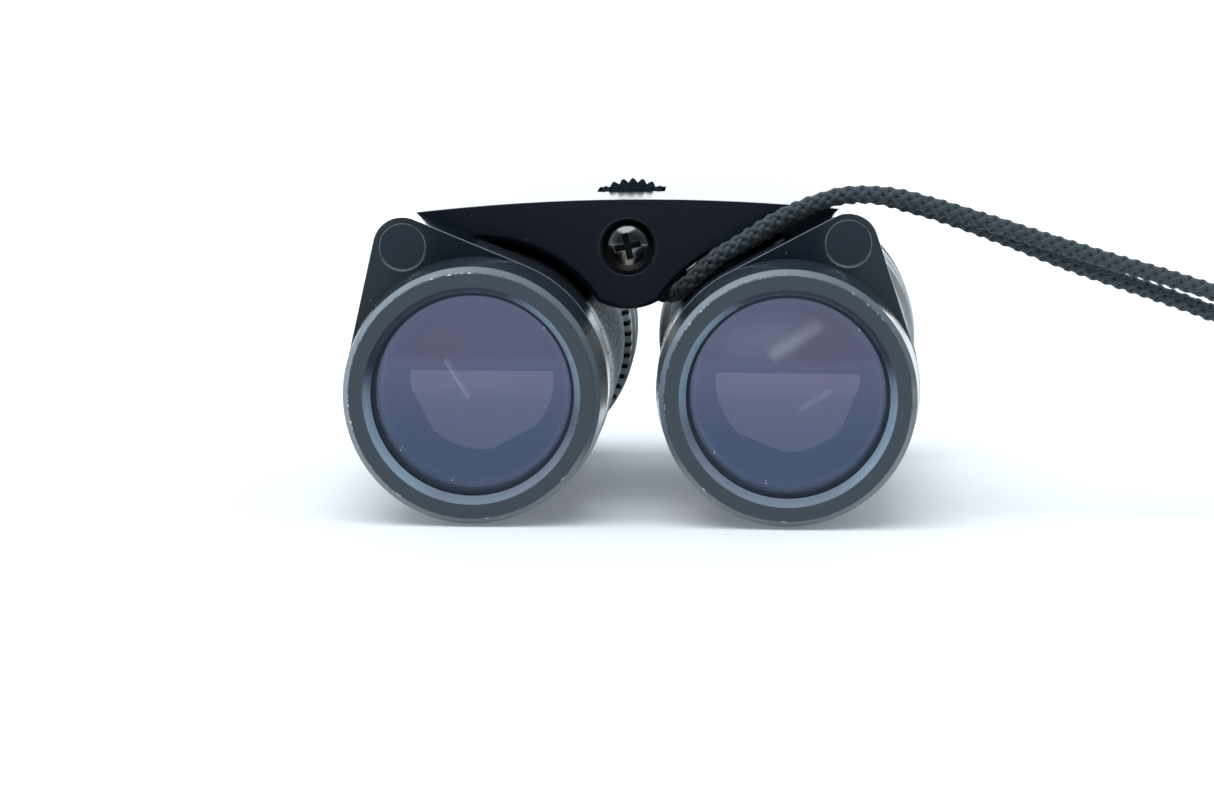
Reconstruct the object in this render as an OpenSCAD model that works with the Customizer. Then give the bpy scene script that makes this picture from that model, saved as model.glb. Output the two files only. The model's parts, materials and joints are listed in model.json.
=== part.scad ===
// Compact folding binoculars, 25 mm objectives, roof prisms, centre focus.
// Two barrels hang from the ends of a short bridge and fold in under it.
// The glasses lie on a table on their rear rims and front rings. +Y runs from
// the objectives to the eyepieces and +Z is up.
// Local lengths along the barrels are measured back from the bezel faces.

/* [Barrel] */
// Clear radius of the objective lens, which sizes the barrel
lens_r = 12.5; // [11.5:0.1:14]
// Wall of the objective's cell round its clear bore
cell_wall = 2.2; // [1.8:0.1:2.6]
// Wall of the metal tube round the cell
tube_wall = 1.9; // [1.5:0.1:2.3]
// Step from the tube up to the front ring that the hinge arm grows from
ring_step = 0.4; // [0.3:0.05:0.6]
// Where the front ring and its hinge arm begin
ring_y = 10.6; // [9.5:0.1:12]
// Thickness of the front hinge arm
arm_t = 9.6; // [8.6:0.1:11]
// Thickness of the leatherette covering
sleeve_t = 0.55; // [0.3:0.05:0.6]
// Thickness of the rear hinge lug
lug_t = 4; // [3:0.5:5]
// How far the tube and its covering run on past the lug
tube_past = 0.7; // [0.3:0.1:3]

/* [Hinges] */
// Gap left between the rear rims when both barrels are folded in
rim_gap = 3.382; // [2.8:0.001:6]
// Distance from a tube's outside to its hinge axis
hinge_out = 3.9; // [3.7:0.05:4.4]
// How far the left barrel is folded in from straight down
fold_left = 27; // [15:0.5:27]
// How far the right barrel is folded in from straight down
fold_right = 22.7; // [15:0.1:23]
// Radius of the front arm's corner round the hinge
corner_r = 3.8; // [3.5:0.1:4.2]
// Outside radius of the hollow hinge pin
pin_r = 1.5; // [1.4:0.05:1.6]
// Radius of the focus rod in the hinge pin
rod_r = 0.85; // [0.7:0.05:0.9]
// Wall of the arm's corner round the flush cap over the hinge
cap_wall = 0.7; // [0.5:0.05:1]

/* [Bridge] */
// Length of the bridge, front plate included
bridge_len = 45.5; // [44:0.5:56]
// Thickness of the front plate
plate_t = 3; // [2.5:0.1:3.5]
// Bevel round the front plate's lower edges
plate_bevel = 0.6; // [0.3:0.1:0.9]
// Height of the bridge's crown over the hinge axes
crown_z = 5.15; // [5:0.05:5.4]
// Radius that the top is arched to
crown_r = 260; // [220:10:400]
// Radius of the round hub about the focus spindle
hub_r = 8.2; // [8:0.1:8.3]
// Drop of the spindle below the hinge axes
spindle_drop = 1.05; // [0.9:0.05:1.2]
// Space between the hollowed underside and a folded barrel's covering
hollow_gap = 1.2; // [1.1:0.05:1.8]
// Radius of the centre screw's head
head_r = 3.3; // [3:0.1:3.4]

/* [Focus] */
// Radius of the focus wheel over its teeth
wheel_r = 7.35; // [7.2:0.05:7.4]
// Width of the focus wheel
wheel_w = 9; // [7:0.5:9.5]
// Distance from the bridge's front face to the wheel
wheel_y = 15.6; // [15:0.1:16]
// How far the spindle reaches out in front of the wheel
spindle_lead = 5.6; // [4:0.1:7]
// Number of teeth on the wheel
wheel_teeth = 34; // [28:1:40]
// Depth of the wheel's teeth
tooth_d = 0.55; // [0.4:0.05:0.8]
// Radius of the focus spindle
spindle_r = 1.6; // [1.4:0.1:1.8]
// Travel of the objectives each way from rest
travel = 1; // [0.6:0.1:1]

/* [Objective] */
// How far the bezel narrows from its rear edge to its flat face
bezel_taper = 1.3; // [1.1:0.05:1.6]
// Width of the cone inside the bezel's flat face
cone_w = 0.85; // [0.5:0.05:1]
// Step from the lens's clear radius out to the bezel's opening
bore_step = 0.5; // [0.3:0.05:0.8]
// Thickness of the objective lens at its edge
lens_edge = 2.4; // [2:0.1:3]
// Rise of the objective's front surface
lens_rise = 1.1; // [0.8:0.1:1.1]

/* [Prism] */
// How much smaller than the objective the stop before the prism is
stop_step = 3; // [2.7:0.1:4]
// Where the prism carrier begins
carrier_y = 20; // [19.5:0.5:22]
// Length of the prism carrier
carrier_len = 40; // [34:1:42]

/* [Eyepiece] */
// Step from the front ring up to the rear rim
rim_step = 1.4; // [1:0.05:1.6]
// Length from the tube's end to the rear rim
ring_span = 10; // [9:0.5:14]
// Length of the rear rim
rim_len = 15; // [13:0.5:18]
// Radius of the rubber lip's opening
lip_bore = 11; // [9:0.5:12]
// Thickness of the metal rim in front of the rubber eyecup
rim_t = 3; // [2:0.5:5]
// Depth of the eyepiece below the rubber lip
eye_depth = 7; // [5:0.5:8]
// Clear radius of the eye lens
eye_r = 8; // [7:0.5:8.5]
// Thickness of the eye lens
eye_t = 5; // [4:0.5:6]
// Radius of the eye lens's front surface
eye_curve = 26; // [22:1:40]
// Thickness of the field lens
field_t = 3.5; // [3:0.5:4.5]
// Radius of the field lens's front surface
field_curve = 30; // [24:1:50]
// Step from the tube up to the dioptre ring's front edge
grip_step = 0.7; // [0.6:0.05:0.9]
// Number of grooves round the dioptre ring
grooves = 72; // [48:2:76]
// Length of the grooves
groove_len = 5.5; // [4:0.5:6]
// Width of the grooves
groove_w = 0.7; // [0.5:0.05:0.8]

/* [Strap] */
// Thickness of the wrist cord
cord_d = 2.4; // [2:0.1:2.6]
// Radius of the strap bar under the bridge
bar_r = 0.9; // [0.8:0.1:1.1]

/* [Hidden] */

ROUND = 96;
RUN = 0.05;    // running clearance of a shaft in its bore, on the radius
GAP = 0.3;     // gap between faces that pass each other
EPS = 0.01;
LEFT = -1;
RIGHT = 1;

BLACK = "#20242a";
STEEL = "#9a9ea3";
BRASS = "#a88a4e";
GLASS = "#6c6488";
RUBBER = "#1c1c1e";

// Radii, from the objective's clear bore outwards
tube_in = lens_r + cell_wall;
tube_r = tube_in + tube_wall;
ring_r = tube_r + ring_step;
sleeve_r = tube_r + sleeve_t;
bezel_bore = lens_r + bore_step;
face_in = bezel_bore + cone_w;
bezel_r = ring_r - RUN;
face_r = bezel_r - bezel_taper;
rim_r = ring_r + rim_step;
grip_r = tube_r + grip_step;
stop_r = lens_r - stop_step;
prism_w = 2 * (stop_r - 0.5);
hollow_r = sleeve_r + hollow_gap;

// Hinges
arm = tube_r + hinge_out;       // from a hinge axis to its barrel's axis
knuckle_r = hinge_out - sleeve_t - GAP - RUN;
cap_r = corner_r - cap_wall;
pivot_span = 2 * rim_r + rim_gap + arm * (sin(fold_left) + sin(fold_right));

// Lengths along the barrels
arm_end = ring_y + arm_t;
bridge_y = arm_end + GAP;
bridge_end = bridge_y + bridge_len;
lug_y = bridge_end + GAP;
lug_end = lug_y + lug_t;
tube_end = lug_end + tube_past;
rim_y = tube_end + ring_span;
sleeve_y = arm_end + 1.5;
body_y = bridge_y + plate_t;
slot_y0 = bridge_y + wheel_y - GAP;
slot_y1 = bridge_y + wheel_y + wheel_w + GAP;

// Focus train
bar_t = 4;                      // length of the carriage along the barrels
bay_y0 = slot_y1 + 2.2;         // bay that the carriage slides in
bay_y1 = bay_y0 + bar_t + 2 * travel + 2 * GAP;
bar_y = (bay_y0 + bay_y1 - bar_t) / 2;
bar_z0 = 0.95;                  // underside of the carriage's crossbar
bar_h = 1.7;
nut_r = 4.4;                    // nut in the middle of the carriage
key_y = bar_y + bar_t / 2;      // cross pin through the eye into the rod
key_r = 0.45;
eye_r0 = pin_r + 1.05;          // eye of the crossbar on the hinge pin
collar_r = rod_r + 0.55;        // collars of the focus rod
journal_y = bridge_y + wheel_y - spindle_lead;
spindle_end = bridge_end - 3;

// Front plate, its screw and the cover underneath
screw_r = 1.4;
screw_end = journal_y - 2;
head_h = 1.7;
head_edge = 0.6;                // straight edge of the screw's head
head_seat = bridge_y + 1.9;
wing_low = 6.2;                 // how far the wings reach below the hinge axes
cover_h = 1.9;
cover_y0 = bay_y0 - 1.2;
cover_y1 = bay_y1 + 4;
end_top = crown_z - crown_r + sqrt(pow(crown_r, 2) - pow(pivot_span / 2, 2));

// Front arm's cavity, with the objective's lever in it
lever_t = 1.6;
collar_t = 0.6;
cavity_y0 = ring_y + 1.4;
cavity_y1 = arm_end - 1.9;
lever_y = (cavity_y0 + cavity_y1 - lever_t) / 2;
lever_w = 3.2;
eyelet_r = rod_r + 1.35;

// Objective, from the bezel's lip back
neck_r = tube_r - 1;            // neck of the tube, inside the bezel
lip_y = 2.4;                    // back of the bezel's lip
cell_r = tube_in - RUN;
cell_y0 = lip_y + travel + 0.2;
cell_y1 = lever_y + lever_t + 0.8;
seat_r = lens_r + 0.7;          // seat of the objective lens in its cell
lens_y = cell_y0 + 0.9;
seat_end = lens_y + lens_edge;

// Eyepiece
dioptre_travel = 0.7;           // travel of the left eyepiece each way
guide_y = carrier_y + carrier_len + dioptre_travel + GAP;
ocular_r = tube_in - 1.7;       // eyepiece cell outside the tube
ocular_end = rim_y + rim_len - eye_depth;
ocular_bore = eye_r + 1.4;
ring_y0 = tube_end + GAP;       // ring between the covering and the rear rim
ring_y1 = rim_y - dioptre_travel - GAP;

// Strap bar, in a notch low in the hub on the right
bar_from_spindle = 6.4;
bar_at = [bar_from_spindle * cos(45), -spindle_drop - bar_from_spindle * sin(45)];
notch_y1 = body_y + 2 * cord_d + 1;
notch_r = bar_r + cord_d + 0.5;
bar_y0 = body_y - 1.5;
bar_y1 = notch_y1 + 3;

// Middle of the wrist cord: out from the strap bar through the gap beside the
// front plate, over the right hinge, down to the table and back the same way
CORD = [
  [4.4, -20.2, 28], [5.1, -23.4, 28.4], [5.6, -26, 28.7], [6.1, -28.8, 29.3],
  [7.1, -31.2, 30.2], [10.2, -31.9, 33.2], [14.4, -31.8, 36], [20, -31.7, 39.4],
  [26, -31.7, 41.6], [30, -31.7, 42], [34, -31.7, 41.7], [38.5, -31.7, 40.6],
  [46, -31.6, 38.4], [54, -31.5, 35.9], [62, -31.5, 33.5], [70, -31.5, 31.2],
  [78, -31.8, 28.6], [87, -32.5, 24.7], [95, -33.3, 19.8], [102, -34.2, 14],
  [109, -35.2, 7.6], [116, -36.2, 3], [125, -37, 1.3], [134, -37, 1.2],
  [142, -34.5, 1.2], [146, -28.5, 1.2], [143.5, -22, 1.2], [136, -18.6, 1.2],
  [127, -18.4, 1.3], [118, -19.6, 3], [110, -21.3, 7.5], [102, -23.2, 13],
  [93, -25.3, 18.4], [83.5, -27.3, 23.3], [74, -28.8, 27.2], [65, -28.9, 30.3],
  [56.5, -29, 33.2], [48.5, -29.1, 36.3], [41, -29.1, 39], [36, -29.1, 40.5],
  [31, -29.1, 41.7], [26, -29.2, 41.4], [20.5, -29.3, 39.1], [15, -29.3, 35.8],
  [11, -29.4, 33.8], [9.5, -29.2, 32.5], [8.3, -28.3, 31.4], [7.5, -26.1, 30.7],
  [6.8, -23.7, 30.1], [5.8, -20.8, 29.5]
];
CORD_SIDES = 8;

// Where each barrel hangs, in the bridge's own frame
function fold(side) = side == LEFT ? fold_left : fold_right;
function pivot(side) = [side * pivot_span / 2, 0];
function hang(side) = pivot(side) + arm * [-side * sin(fold(side)), -cos(fold(side))];

// Where a barrel hangs when it is folded in as far as either barrel is
fold_in = max(fold_left, fold_right);
function tucked(side) = pivot(side) + arm * [-side * sin(fold_in), -cos(fold_in)];

// The bridge tips until both barrels lie level, and the nose drops on its rings
mid = (hang(LEFT) + hang(RIGHT)) / 2;
run = hang(RIGHT) - hang(LEFT);
tip = atan2(run[1], run[0]);
nose = atan((rim_r - ring_r) / (rim_y - ring_y));
lift = ring_r * cos(nose) - ring_y * sin(nose);
total = rim_y + rim_len;

// ---- placing -------------------------------------------------------------

// The bridge's frame in the frame that the glasses stand in
module stand() {
  translate([0, -total / 2, lift])
    rotate([nose, 0, 0])
      rotate([0, tip, 0])
        translate([-mid[0], 0, -mid[1]])
          children();
}

// A barrel's own frame, with its axis on Y and its hinge straight above
module on_barrel(side) {
  stand()
    translate([pivot(side)[0], 0, pivot(side)[1]])
      rotate([0, side * fold(side), 0])
        translate([0, 0, -arm])
          children();
}

// The left or right hinge axis, in the bridge's frame
module on_hinge(side) {
  stand() translate([pivot(side)[0], 0, pivot(side)[1]]) children();
}

// The focus spindle's axis, in the bridge's frame
module on_spindle() {
  stand() translate([0, 0, -spindle_drop]) children();
}

// ---- shapes --------------------------------------------------------------

// A cylinder along Y from y0 to y1
module rod(y0, y1, r) {
  translate([0, y0, 0]) rotate([-90, 0, 0]) cylinder(h = y1 - y0, r = r, $fn = ROUND);
}

// A ring along Y
module tube(y0, y1, r, bore) {
  difference() {
    rod(y0, y1, r);
    rod(y0 - 1, y1 + 1, bore);
  }
}

// A profile of [radius, y] points, turned about Y
module turned() {
  rotate([-90, 0, 0]) rotate_extrude($fn = ROUND) children();
}

// An outline in X and Z, as thick as y0 to y1
module slab(y0, y1) {
  translate([0, y1, 0]) rotate([90, 0, 0]) linear_extrude(y1 - y0) children();
}

// A flat link round two circles, one at the origin and one straight above it
module link(r0, r1, dist) {
  a = asin((r0 - r1) / dist);
  circle(r0, $fn = ROUND);
  translate([0, dist]) circle(r1, $fn = ROUND);
  polygon([
    r0 * [cos(a), sin(a)],
    [0, dist] + r1 * [cos(a), sin(a)],
    [0, dist] + r1 * [-cos(a), sin(a)],
    r0 * [-cos(a), sin(a)]
  ]);
}

// ---- bridge --------------------------------------------------------------

// Outline of the bridge from the front, hollowed alike for both folded barrels
module bridge_outline() {
  difference() {
    intersection() {
      translate([0, crown_z - crown_r]) circle(crown_r, $fn = 720);
      union() {
        translate([-pivot_span / 2, -wing_low]) square([pivot_span, wing_low + crown_z]);
        translate([0, -spindle_drop]) circle(hub_r, $fn = ROUND);
      }
    }
    for (s = [LEFT, RIGHT]) translate(tucked(s)) circle(hollow_r, $fn = ROUND);
  }
  for (s = [LEFT, RIGHT]) translate(pivot(s)) {
    circle(knuckle_r, $fn = ROUND);
    intersection() {
      circle(end_top, $fn = ROUND);
      translate([-end_top, 0]) square(2 * end_top);
    }
  }
}

// Bay that the carriage slides in, open below round the hinge pins
module carriage_bay() {
  slab(bay_y0, bay_y1) {
    translate([-pivot_span / 2, bar_z0 - 0.25]) square([pivot_span, bar_h + 0.5]);
    translate([0, -spindle_drop]) circle(nut_r + GAP, $fn = ROUND);
    translate([-nut_r, -spindle_drop - hub_r - 1]) square([2 * nut_r, hub_r]);
    for (s = [LEFT, RIGHT]) translate(pivot(s)) {
      circle(eye_r0 + GAP, $fn = ROUND);
      translate([-knuckle_r - 1, -knuckle_r - 1]) square([2 * knuckle_r + 2, knuckle_r + 1]);
    }
  }
  // recess for the cover
  slab(cover_y0 - RUN, cover_y1 + RUN)
    translate([-nut_r, -spindle_drop - hub_r - 1]) square([2 * nut_r, cover_h + RUN + 1]);
}

module bridge_body() {
  color(BLACK) stand() difference() {
    slab(body_y, bridge_end) bridge_outline();
    carriage_bay();
    slab(slot_y0, slot_y1) {
      translate([0, -spindle_drop]) circle(wheel_r + GAP, $fn = ROUND);
      translate([GAP - wheel_r, -spindle_drop - 2 * hub_r])
        square([2 * (wheel_r - GAP), 2 * hub_r]);
    }
    translate([0, 0, -spindle_drop]) {
      rod(body_y - 1, screw_end + GAP, screw_r);
      rod(journal_y - GAP, spindle_end + GAP, spindle_r + RUN);
    }
    for (s = [LEFT, RIGHT])
      translate([pivot(s)[0], 0, 0]) rod(body_y - 1, bridge_end + 1, pin_r);
    translate([bar_at[0], 0, bar_at[1]]) {
      rod(body_y - 1, notch_y1, notch_r);
      rod(body_y - 1, bar_y1, bar_r);
    }
    cover_screw_holes();
  }
}

// A cone along Y from radius r0 at y0 to r1 at y1
module cone(y0, y1, r0, r1) {
  translate([0, y0, 0]) rotate([-90, 0, 0]) cylinder(h = y1 - y0, r1 = r0, r2 = r1, $fn = ROUND);
}

// Arched plate that closes the front of the bridge, bevelled along its lower edges
module bridge_front_plate() {
  color(BLACK) stand() difference() {
    slab(bridge_y, body_y) bridge_outline();
    for (s = [LEFT, RIGHT]) difference() {
      translate([tucked(s)[0], 0, tucked(s)[1]])
        cone(bridge_y - EPS, bridge_y + plate_bevel, hollow_r + plate_bevel + EPS, hollow_r);
      translate([pivot(s)[0], 0, 0]) rod(bridge_y - 1, body_y, knuckle_r);
    }
    translate([0, 0, -spindle_drop]) intersection() {
      difference() {
        rod(bridge_y - EPS, bridge_y + plate_bevel, hub_r + 1);
        cone(bridge_y - EPS, bridge_y + plate_bevel, hub_r - plate_bevel - EPS, hub_r);
      }
      slab(bridge_y - 1, body_y) translate([-hub_r, -hub_r - 1]) square([2 * hub_r, hub_r / 2 + 1]);
    }
    translate([0, 0, -spindle_drop]) {
      rod(bridge_y - 1, head_seat, head_r + 0.45);
      rod(bridge_y - 1, body_y + 1, screw_r + 0.15);
    }
    for (s = [LEFT, RIGHT])
      translate([pivot(s)[0], 0, 0]) rod(bridge_y - 1, body_y + 1, pin_r);
    translate([bar_at[0], 0, bar_at[1]]) rod(bar_y0, body_y + 1, bar_r);
  }
}

// Pan-head cross-recess screw in the middle of the front plate
module bridge_screw() {
  rise = head_h - head_edge;
  dome_r = (pow(head_r, 2) + pow(rise, 2)) / (2 * rise);
  slot_w = 0.84;
  slot_out = 0.58 * head_r;
  slot_in = 0.5 * head_r;
  slot_deep = 0.7 * head_h;
  color(STEEL) on_spindle() difference() {
    union() {
      intersection() {
        rod(bridge_y - 1, head_seat, head_r);
        translate([0, head_seat - head_h + dome_r, 0]) sphere(dome_r, $fn = ROUND);
      }
      rod(head_seat - EPS, screw_end, screw_r);
    }
    rotate([0, -12, 0]) for (turn = [0, 90]) rotate([0, turn, 0])
      translate([0, head_seat - head_h, -slot_w / 2]) linear_extrude(slot_w) polygon([
        [-slot_out, -1], [slot_out, -1], [slot_in, slot_deep], [-slot_in, slot_deep]
      ]);
  }
}

// Curved cover under the carriage's bay
module bridge_bottom_cover() {
  color(BLACK) stand() difference() {
    slab(cover_y0, cover_y1) intersection() {
      translate([0, -spindle_drop]) circle(hub_r, $fn = ROUND);
      translate([RUN - nut_r, -spindle_drop - hub_r]) square([2 * (nut_r - RUN), cover_h]);
    }
    cover_screw_holes();
  }
}

// Places of the two small screws behind the carriage's bay
module at_cover_screws() {
  for (s = [LEFT, RIGHT])
    translate([s * (nut_r - 1.8), bay_y1 + 2.2, -spindle_drop - hub_r]) children();
}

module cover_screw_holes() {
  at_cover_screws() {
    cylinder(h = cover_h + 3, r = 0.6, $fn = 24);
    translate([0, 0, -1]) cylinder(h = 1.9, r = 1.05, $fn = 24);
  }
}

module cover_screws() {
  color(STEEL) stand() at_cover_screws() {
    translate([0, 0, 0.5]) cylinder(h = cover_h + 2.5, r = 0.6, $fn = 24);
    translate([0, 0, 0.5]) cylinder(h = 0.4, r = 1, $fn = 24);
  }
}

// Hollow hinge pin, slotted where the carriage's key works the focus rod
module hinge_pin(side) {
  color(STEEL) on_hinge(side) difference() {
    rod(cavity_y1 + GAP, lug_end, pin_r);
    rod(cavity_y1, bay_y1 + 1, rod_r + RUN);
    translate([-key_r - RUN, key_y - travel - key_r - RUN, 0])
      cube([2 * (key_r + RUN), 2 * (travel + key_r + RUN), pin_r + 1]);
  }
}

module strap_bar() {
  color(STEEL) stand() translate([bar_at[0], 0, bar_at[1]]) rod(bar_y0, bar_y1, bar_r);
}

// ---- focus ---------------------------------------------------------------

// Toothed wheel, one triangular tooth cut at a time
module focus_wheel() {
  pitch = 360 / wheel_teeth;
  root = wheel_r - tooth_d;
  color(BLACK) on_spindle() difference() {
    rod(bridge_y + wheel_y, bridge_y + wheel_y + wheel_w, wheel_r);
    rod(bridge_y, bridge_end, spindle_r);
    slab(bridge_y + wheel_y - 1, bridge_y + wheel_y + wheel_w + 1)
      for (i = [0:wheel_teeth - 1]) rotate(i * pitch)
        polygon([
          [root, 0],
          (wheel_r + 0.1) * [cos(0.44 * pitch), sin(0.44 * pitch)],
          (wheel_r + 0.1) * [cos(0.44 * pitch), -sin(0.44 * pitch)]
        ]);
  }
}

module focus_spindle() {
  color(BRASS) on_spindle() rod(journal_y, spindle_end, spindle_r);
}

// Nut on the spindle with a crossbar to an eye on each hinge pin
module focus_carriage() {
  color(BRASS) stand() difference() {
    slab(bar_y, bar_y + bar_t) {
      translate([-pivot_span / 2, bar_z0]) square([pivot_span, bar_h]);
      translate([0, -spindle_drop]) circle(nut_r, $fn = ROUND);
      for (s = [LEFT, RIGHT]) translate(pivot(s)) circle(eye_r0, $fn = ROUND);
    }
    translate([0, 0, -spindle_drop]) rod(bar_y - 1, bar_y + bar_t + 1, spindle_r + RUN);
    for (s = [LEFT, RIGHT]) translate([pivot(s)[0], 0, 0]) {
      rod(bar_y - 1, bar_y + bar_t + 1, pin_r + RUN);
      translate([0, key_y, 0]) cylinder(h = bar_z0 + bar_h - 0.5, r = key_r, $fn = 24);
    }
  }
}

// Rod in the hinge pin, with its key and the two collars that hold the lever
module focus_rod(side) {
  color(STEEL) on_hinge(side) {
    rod(lever_y - RUN - 2 * collar_t, key_y + 1.2, rod_r);
    rod(lever_y - RUN - collar_t, lever_y - RUN, collar_r);
    rod(lever_y + lever_t + RUN, lever_y + lever_t + RUN + collar_t, collar_r);
    translate([0, key_y, 0]) cylinder(h = bar_z0 + bar_h - 0.5, r = key_r, $fn = 24);
  }
}

// ---- barrels -------------------------------------------------------------

// Outline of the rear hinge lug
module lug_outline(grow) {
  base = 8.6;
  translate([0, tube_r - base]) link(base + grow, corner_r - 0.4 + grow, arm - tube_r + base);
}

// Tube with its front ring and hinge arm, its neck and its rear lug
module barrel(side) {
  color(BLACK) on_barrel(side) difference() {
    union() {
      rod(lip_y, ring_y + 1, neck_r);
      slab(ring_y, arm_end) link(ring_r, corner_r, arm);
      rod(arm_end - 1, tube_end, tube_r);
      slab(lug_y, lug_end) lug_outline(0);
    }
    rod(lip_y - 1, tube_end + 1, tube_in);
    // cavity of the focusing lever, with the cap's seat in front
    slab(cavity_y0, cavity_y1) {
      translate([0, arm]) circle(eyelet_r + GAP, $fn = ROUND);
      translate([-lever_w / 2 - GAP, tube_in - 1]) square([lever_w + 2 * GAP, arm - tube_in + 1]);
    }
    translate([0, 0, arm]) {
      rod(ring_y - 1, cavity_y0 + EPS, cap_r);
      rod(cavity_y0, lug_end + 1, pin_r + RUN);
    }
  }
}

// Leatherette round the tube, cut out round the rear lug
module covering(side) {
  color(BLACK) on_barrel(side) difference() {
    tube(sleeve_y, tube_end, sleeve_r, tube_r);
    slab(lug_y - GAP, tube_end + 1) lug_outline(GAP);
  }
}

// Ring screwed on the front, with a chamfered rim and a coned opening
module bezel(side) {
  color("#4a4f55") on_barrel(side) turned() polygon([
    [face_in, 0],
    [face_r, 0],
    [face_r + 0.75, 1],
    [bezel_r, ring_y - 0.35],
    [neck_r, ring_y - 0.35],
    [neck_r, lip_y],
    [bezel_bore, lip_y],
    [bezel_bore, lip_y - 0.3]
  ]);
}

// Flush cap over the end of the hinge
module hinge_cap(side) {
  color(BLACK) on_barrel(side) translate([0, 0, arm]) rod(ring_y, cavity_y0, cap_r - 0.05);
}

// Carrier with a round stop in front of a square seat for the prisms
module prism_carrier(side) {
  color(BLACK) on_barrel(side) difference() {
    rod(carrier_y, carrier_y + carrier_len, tube_in - RUN);
    rod(carrier_y - 1, carrier_y + carrier_len + 1, stop_r * 0.8);
    rod(carrier_y - 1, carrier_y + 2, stop_r);
    translate([-prism_w / 2, carrier_y + 2, -prism_w / 2])
      cube([prism_w, carrier_len - 4, prism_w]);
  }
}

// Roof prism pair with its slanting air gap
module prism(side) {
  h = prism_w / 2 - RUN;
  far = carrier_len - 4;
  color(GLASS) on_barrel(side) translate([0, carrier_y + 2, 0])
    rotate([90, 0, 90]) translate([0, 0, -h]) linear_extrude(2 * h) {
      polygon([
        [RUN, -h], [RUN, h], [far / 4, h],
        [far / 4 + 1.65 * h, -0.65 * h], [far / 4 + 1.3 * h, -h]
      ]);
      polygon([[far / 4 + 1, h], [far - RUN, h], [far - RUN, -h], [far / 4 + 1 + 2 * h, -h]]);
    }
}

// ---- objectives ----------------------------------------------------------

// Sliding cell with the lever that the focus rod moves
module objective_cell(side) {
  color("#2a2c2f") on_barrel(side) difference() {
    union() {
      rod(cell_y0, cell_y1, cell_r);
      slab(lever_y, lever_y + lever_t) {
        translate([-lever_w / 2, lens_r + 1]) square([lever_w, arm - lens_r - 1]);
        translate([0, arm]) circle(eyelet_r, $fn = ROUND);
      }
    }
    rod(cell_y0 - 1, cell_y1 + 1, lens_r);
    rod(cell_y0 - 1, seat_end, seat_r);
    translate([0, 0, arm]) rod(lever_y - 1, lever_y + lever_t + 1, rod_r + RUN);
  }
}

// Ring that holds the objective lens in its seat
module lens_ring(side) {
  color("#2a2c2f") on_barrel(side) tube(cell_y0, lens_y, seat_r - RUN, lens_r);
}

// Objective, bulged to the front
module objective_lens(side) {
  bulge_r = (pow(lens_r, 2) + pow(lens_rise, 2)) / (2 * lens_rise);
  color(GLASS) on_barrel(side) intersection() {
    rod(lens_y - lens_rise, seat_end, seat_r - RUN);
    translate([0, lens_y - lens_rise + bulge_r, 0]) sphere(bulge_r, $fn = 180);
  }
}

// ---- eyepieces -----------------------------------------------------------

// Grooved ring that sets the left eyepiece
module dioptre_ring() {
  color(STEEL) on_barrel(LEFT) difference() {
    turned() ring_profile(ocular_r + RUN);
    for (i = [0:grooves - 1]) rotate([0, i * 360 / grooves, 0])
      translate([-groove_w / 2, ring_y0 - 1, grip_r - 0.25]) cube([groove_w, groove_len + 1, 2]);
  }
}

// Section of the rings between the coverings and the rear rims
module ring_profile(bore) {
  polygon([
    [bore, ring_y0], [grip_r - 0.2, ring_y0], [grip_r + 0.7, ring_y0 + 1.2],
    [grip_r + 0.7, ring_y1 - 0.6], [grip_r + 0.1, ring_y1], [bore, ring_y1]
  ]);
}

// Plain ring of the right barrel, with one turned groove
module right_rear_ring() {
  color(STEEL) on_barrel(RIGHT) difference() {
    turned() ring_profile(ocular_r);
    turned() translate([grip_r + 0.4, ring_y0 + 4]) square([2, 0.7]);
  }
}

// Tube that holds the eyepiece lenses and slides in the barrel
module eyepiece_cell(side) {
  color("#2a2c2f") on_barrel(side) difference() {
    union() {
      rod(guide_y, tube_end - 1, tube_in - RUN);
      rod(guide_y, ocular_end, ocular_r);
    }
    rod(guide_y - 1, ocular_end - 1, ocular_bore);
    rod(guide_y - 1, ocular_end + 1, eye_r);
  }
}

module field_lens(side) {
  color(GLASS) on_barrel(side) intersection() {
    rod(guide_y + 2, guide_y + 2 + field_t, ocular_bore - RUN);
    translate([0, guide_y + 2 + field_curve, 0]) sphere(field_curve, $fn = ROUND);
  }
}

module eye_lens(side) {
  lens_end = ocular_end - 1;
  color(GLASS) on_barrel(side) intersection() {
    rod(lens_end - eye_t, lens_end, ocular_bore - RUN);
    translate([0, lens_end - eye_t + eye_curve, 0]) sphere(eye_curve, $fn = ROUND);
  }
}

// Metal rim between the ring and the rubber eyecup
module rear_rim(side) {
  color(STEEL) on_barrel(side) turned() polygon([
    [ocular_r, rim_y], [rim_r - 0.3, rim_y], [rim_r, rim_y + 0.4],
    [rim_r, rim_y + rim_t], [ocular_r, rim_y + rim_t]
  ]);
}

// Rubber eyecup with a rounded lip
module eyecup(side) {
  lip_round = 2.6;
  color(RUBBER) on_barrel(side) turned() difference() {
    union() {
      polygon([
        [lip_bore, rim_y + rim_t], [rim_r, rim_y + rim_t],
        [rim_r, total - lip_round], [rim_r - lip_round, total - lip_round],
        [rim_r - lip_round, total], [lip_bore + 1, total], [lip_bore, total - 1]
      ]);
      translate([rim_r - lip_round, total - lip_round]) circle(lip_round, $fn = 48);
    }
    translate([0, rim_y]) square([ocular_r, ocular_end - rim_y]);
  }
}

// ---- cord ----------------------------------------------------------------

// Hitch of the cord round the strap bar
module cord_hitch() {
  color("#3a3d38") stand()
    translate([bar_at[0], body_y + cord_d + 0.6, bar_at[1]]) turned() {
      translate([bar_r + cord_d / 2, -cord_d / 2]) circle(cord_d / 2, $fn = 24);
      translate([bar_r + cord_d / 2, cord_d / 2]) circle(cord_d / 2, $fn = 24);
    }
}

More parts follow.
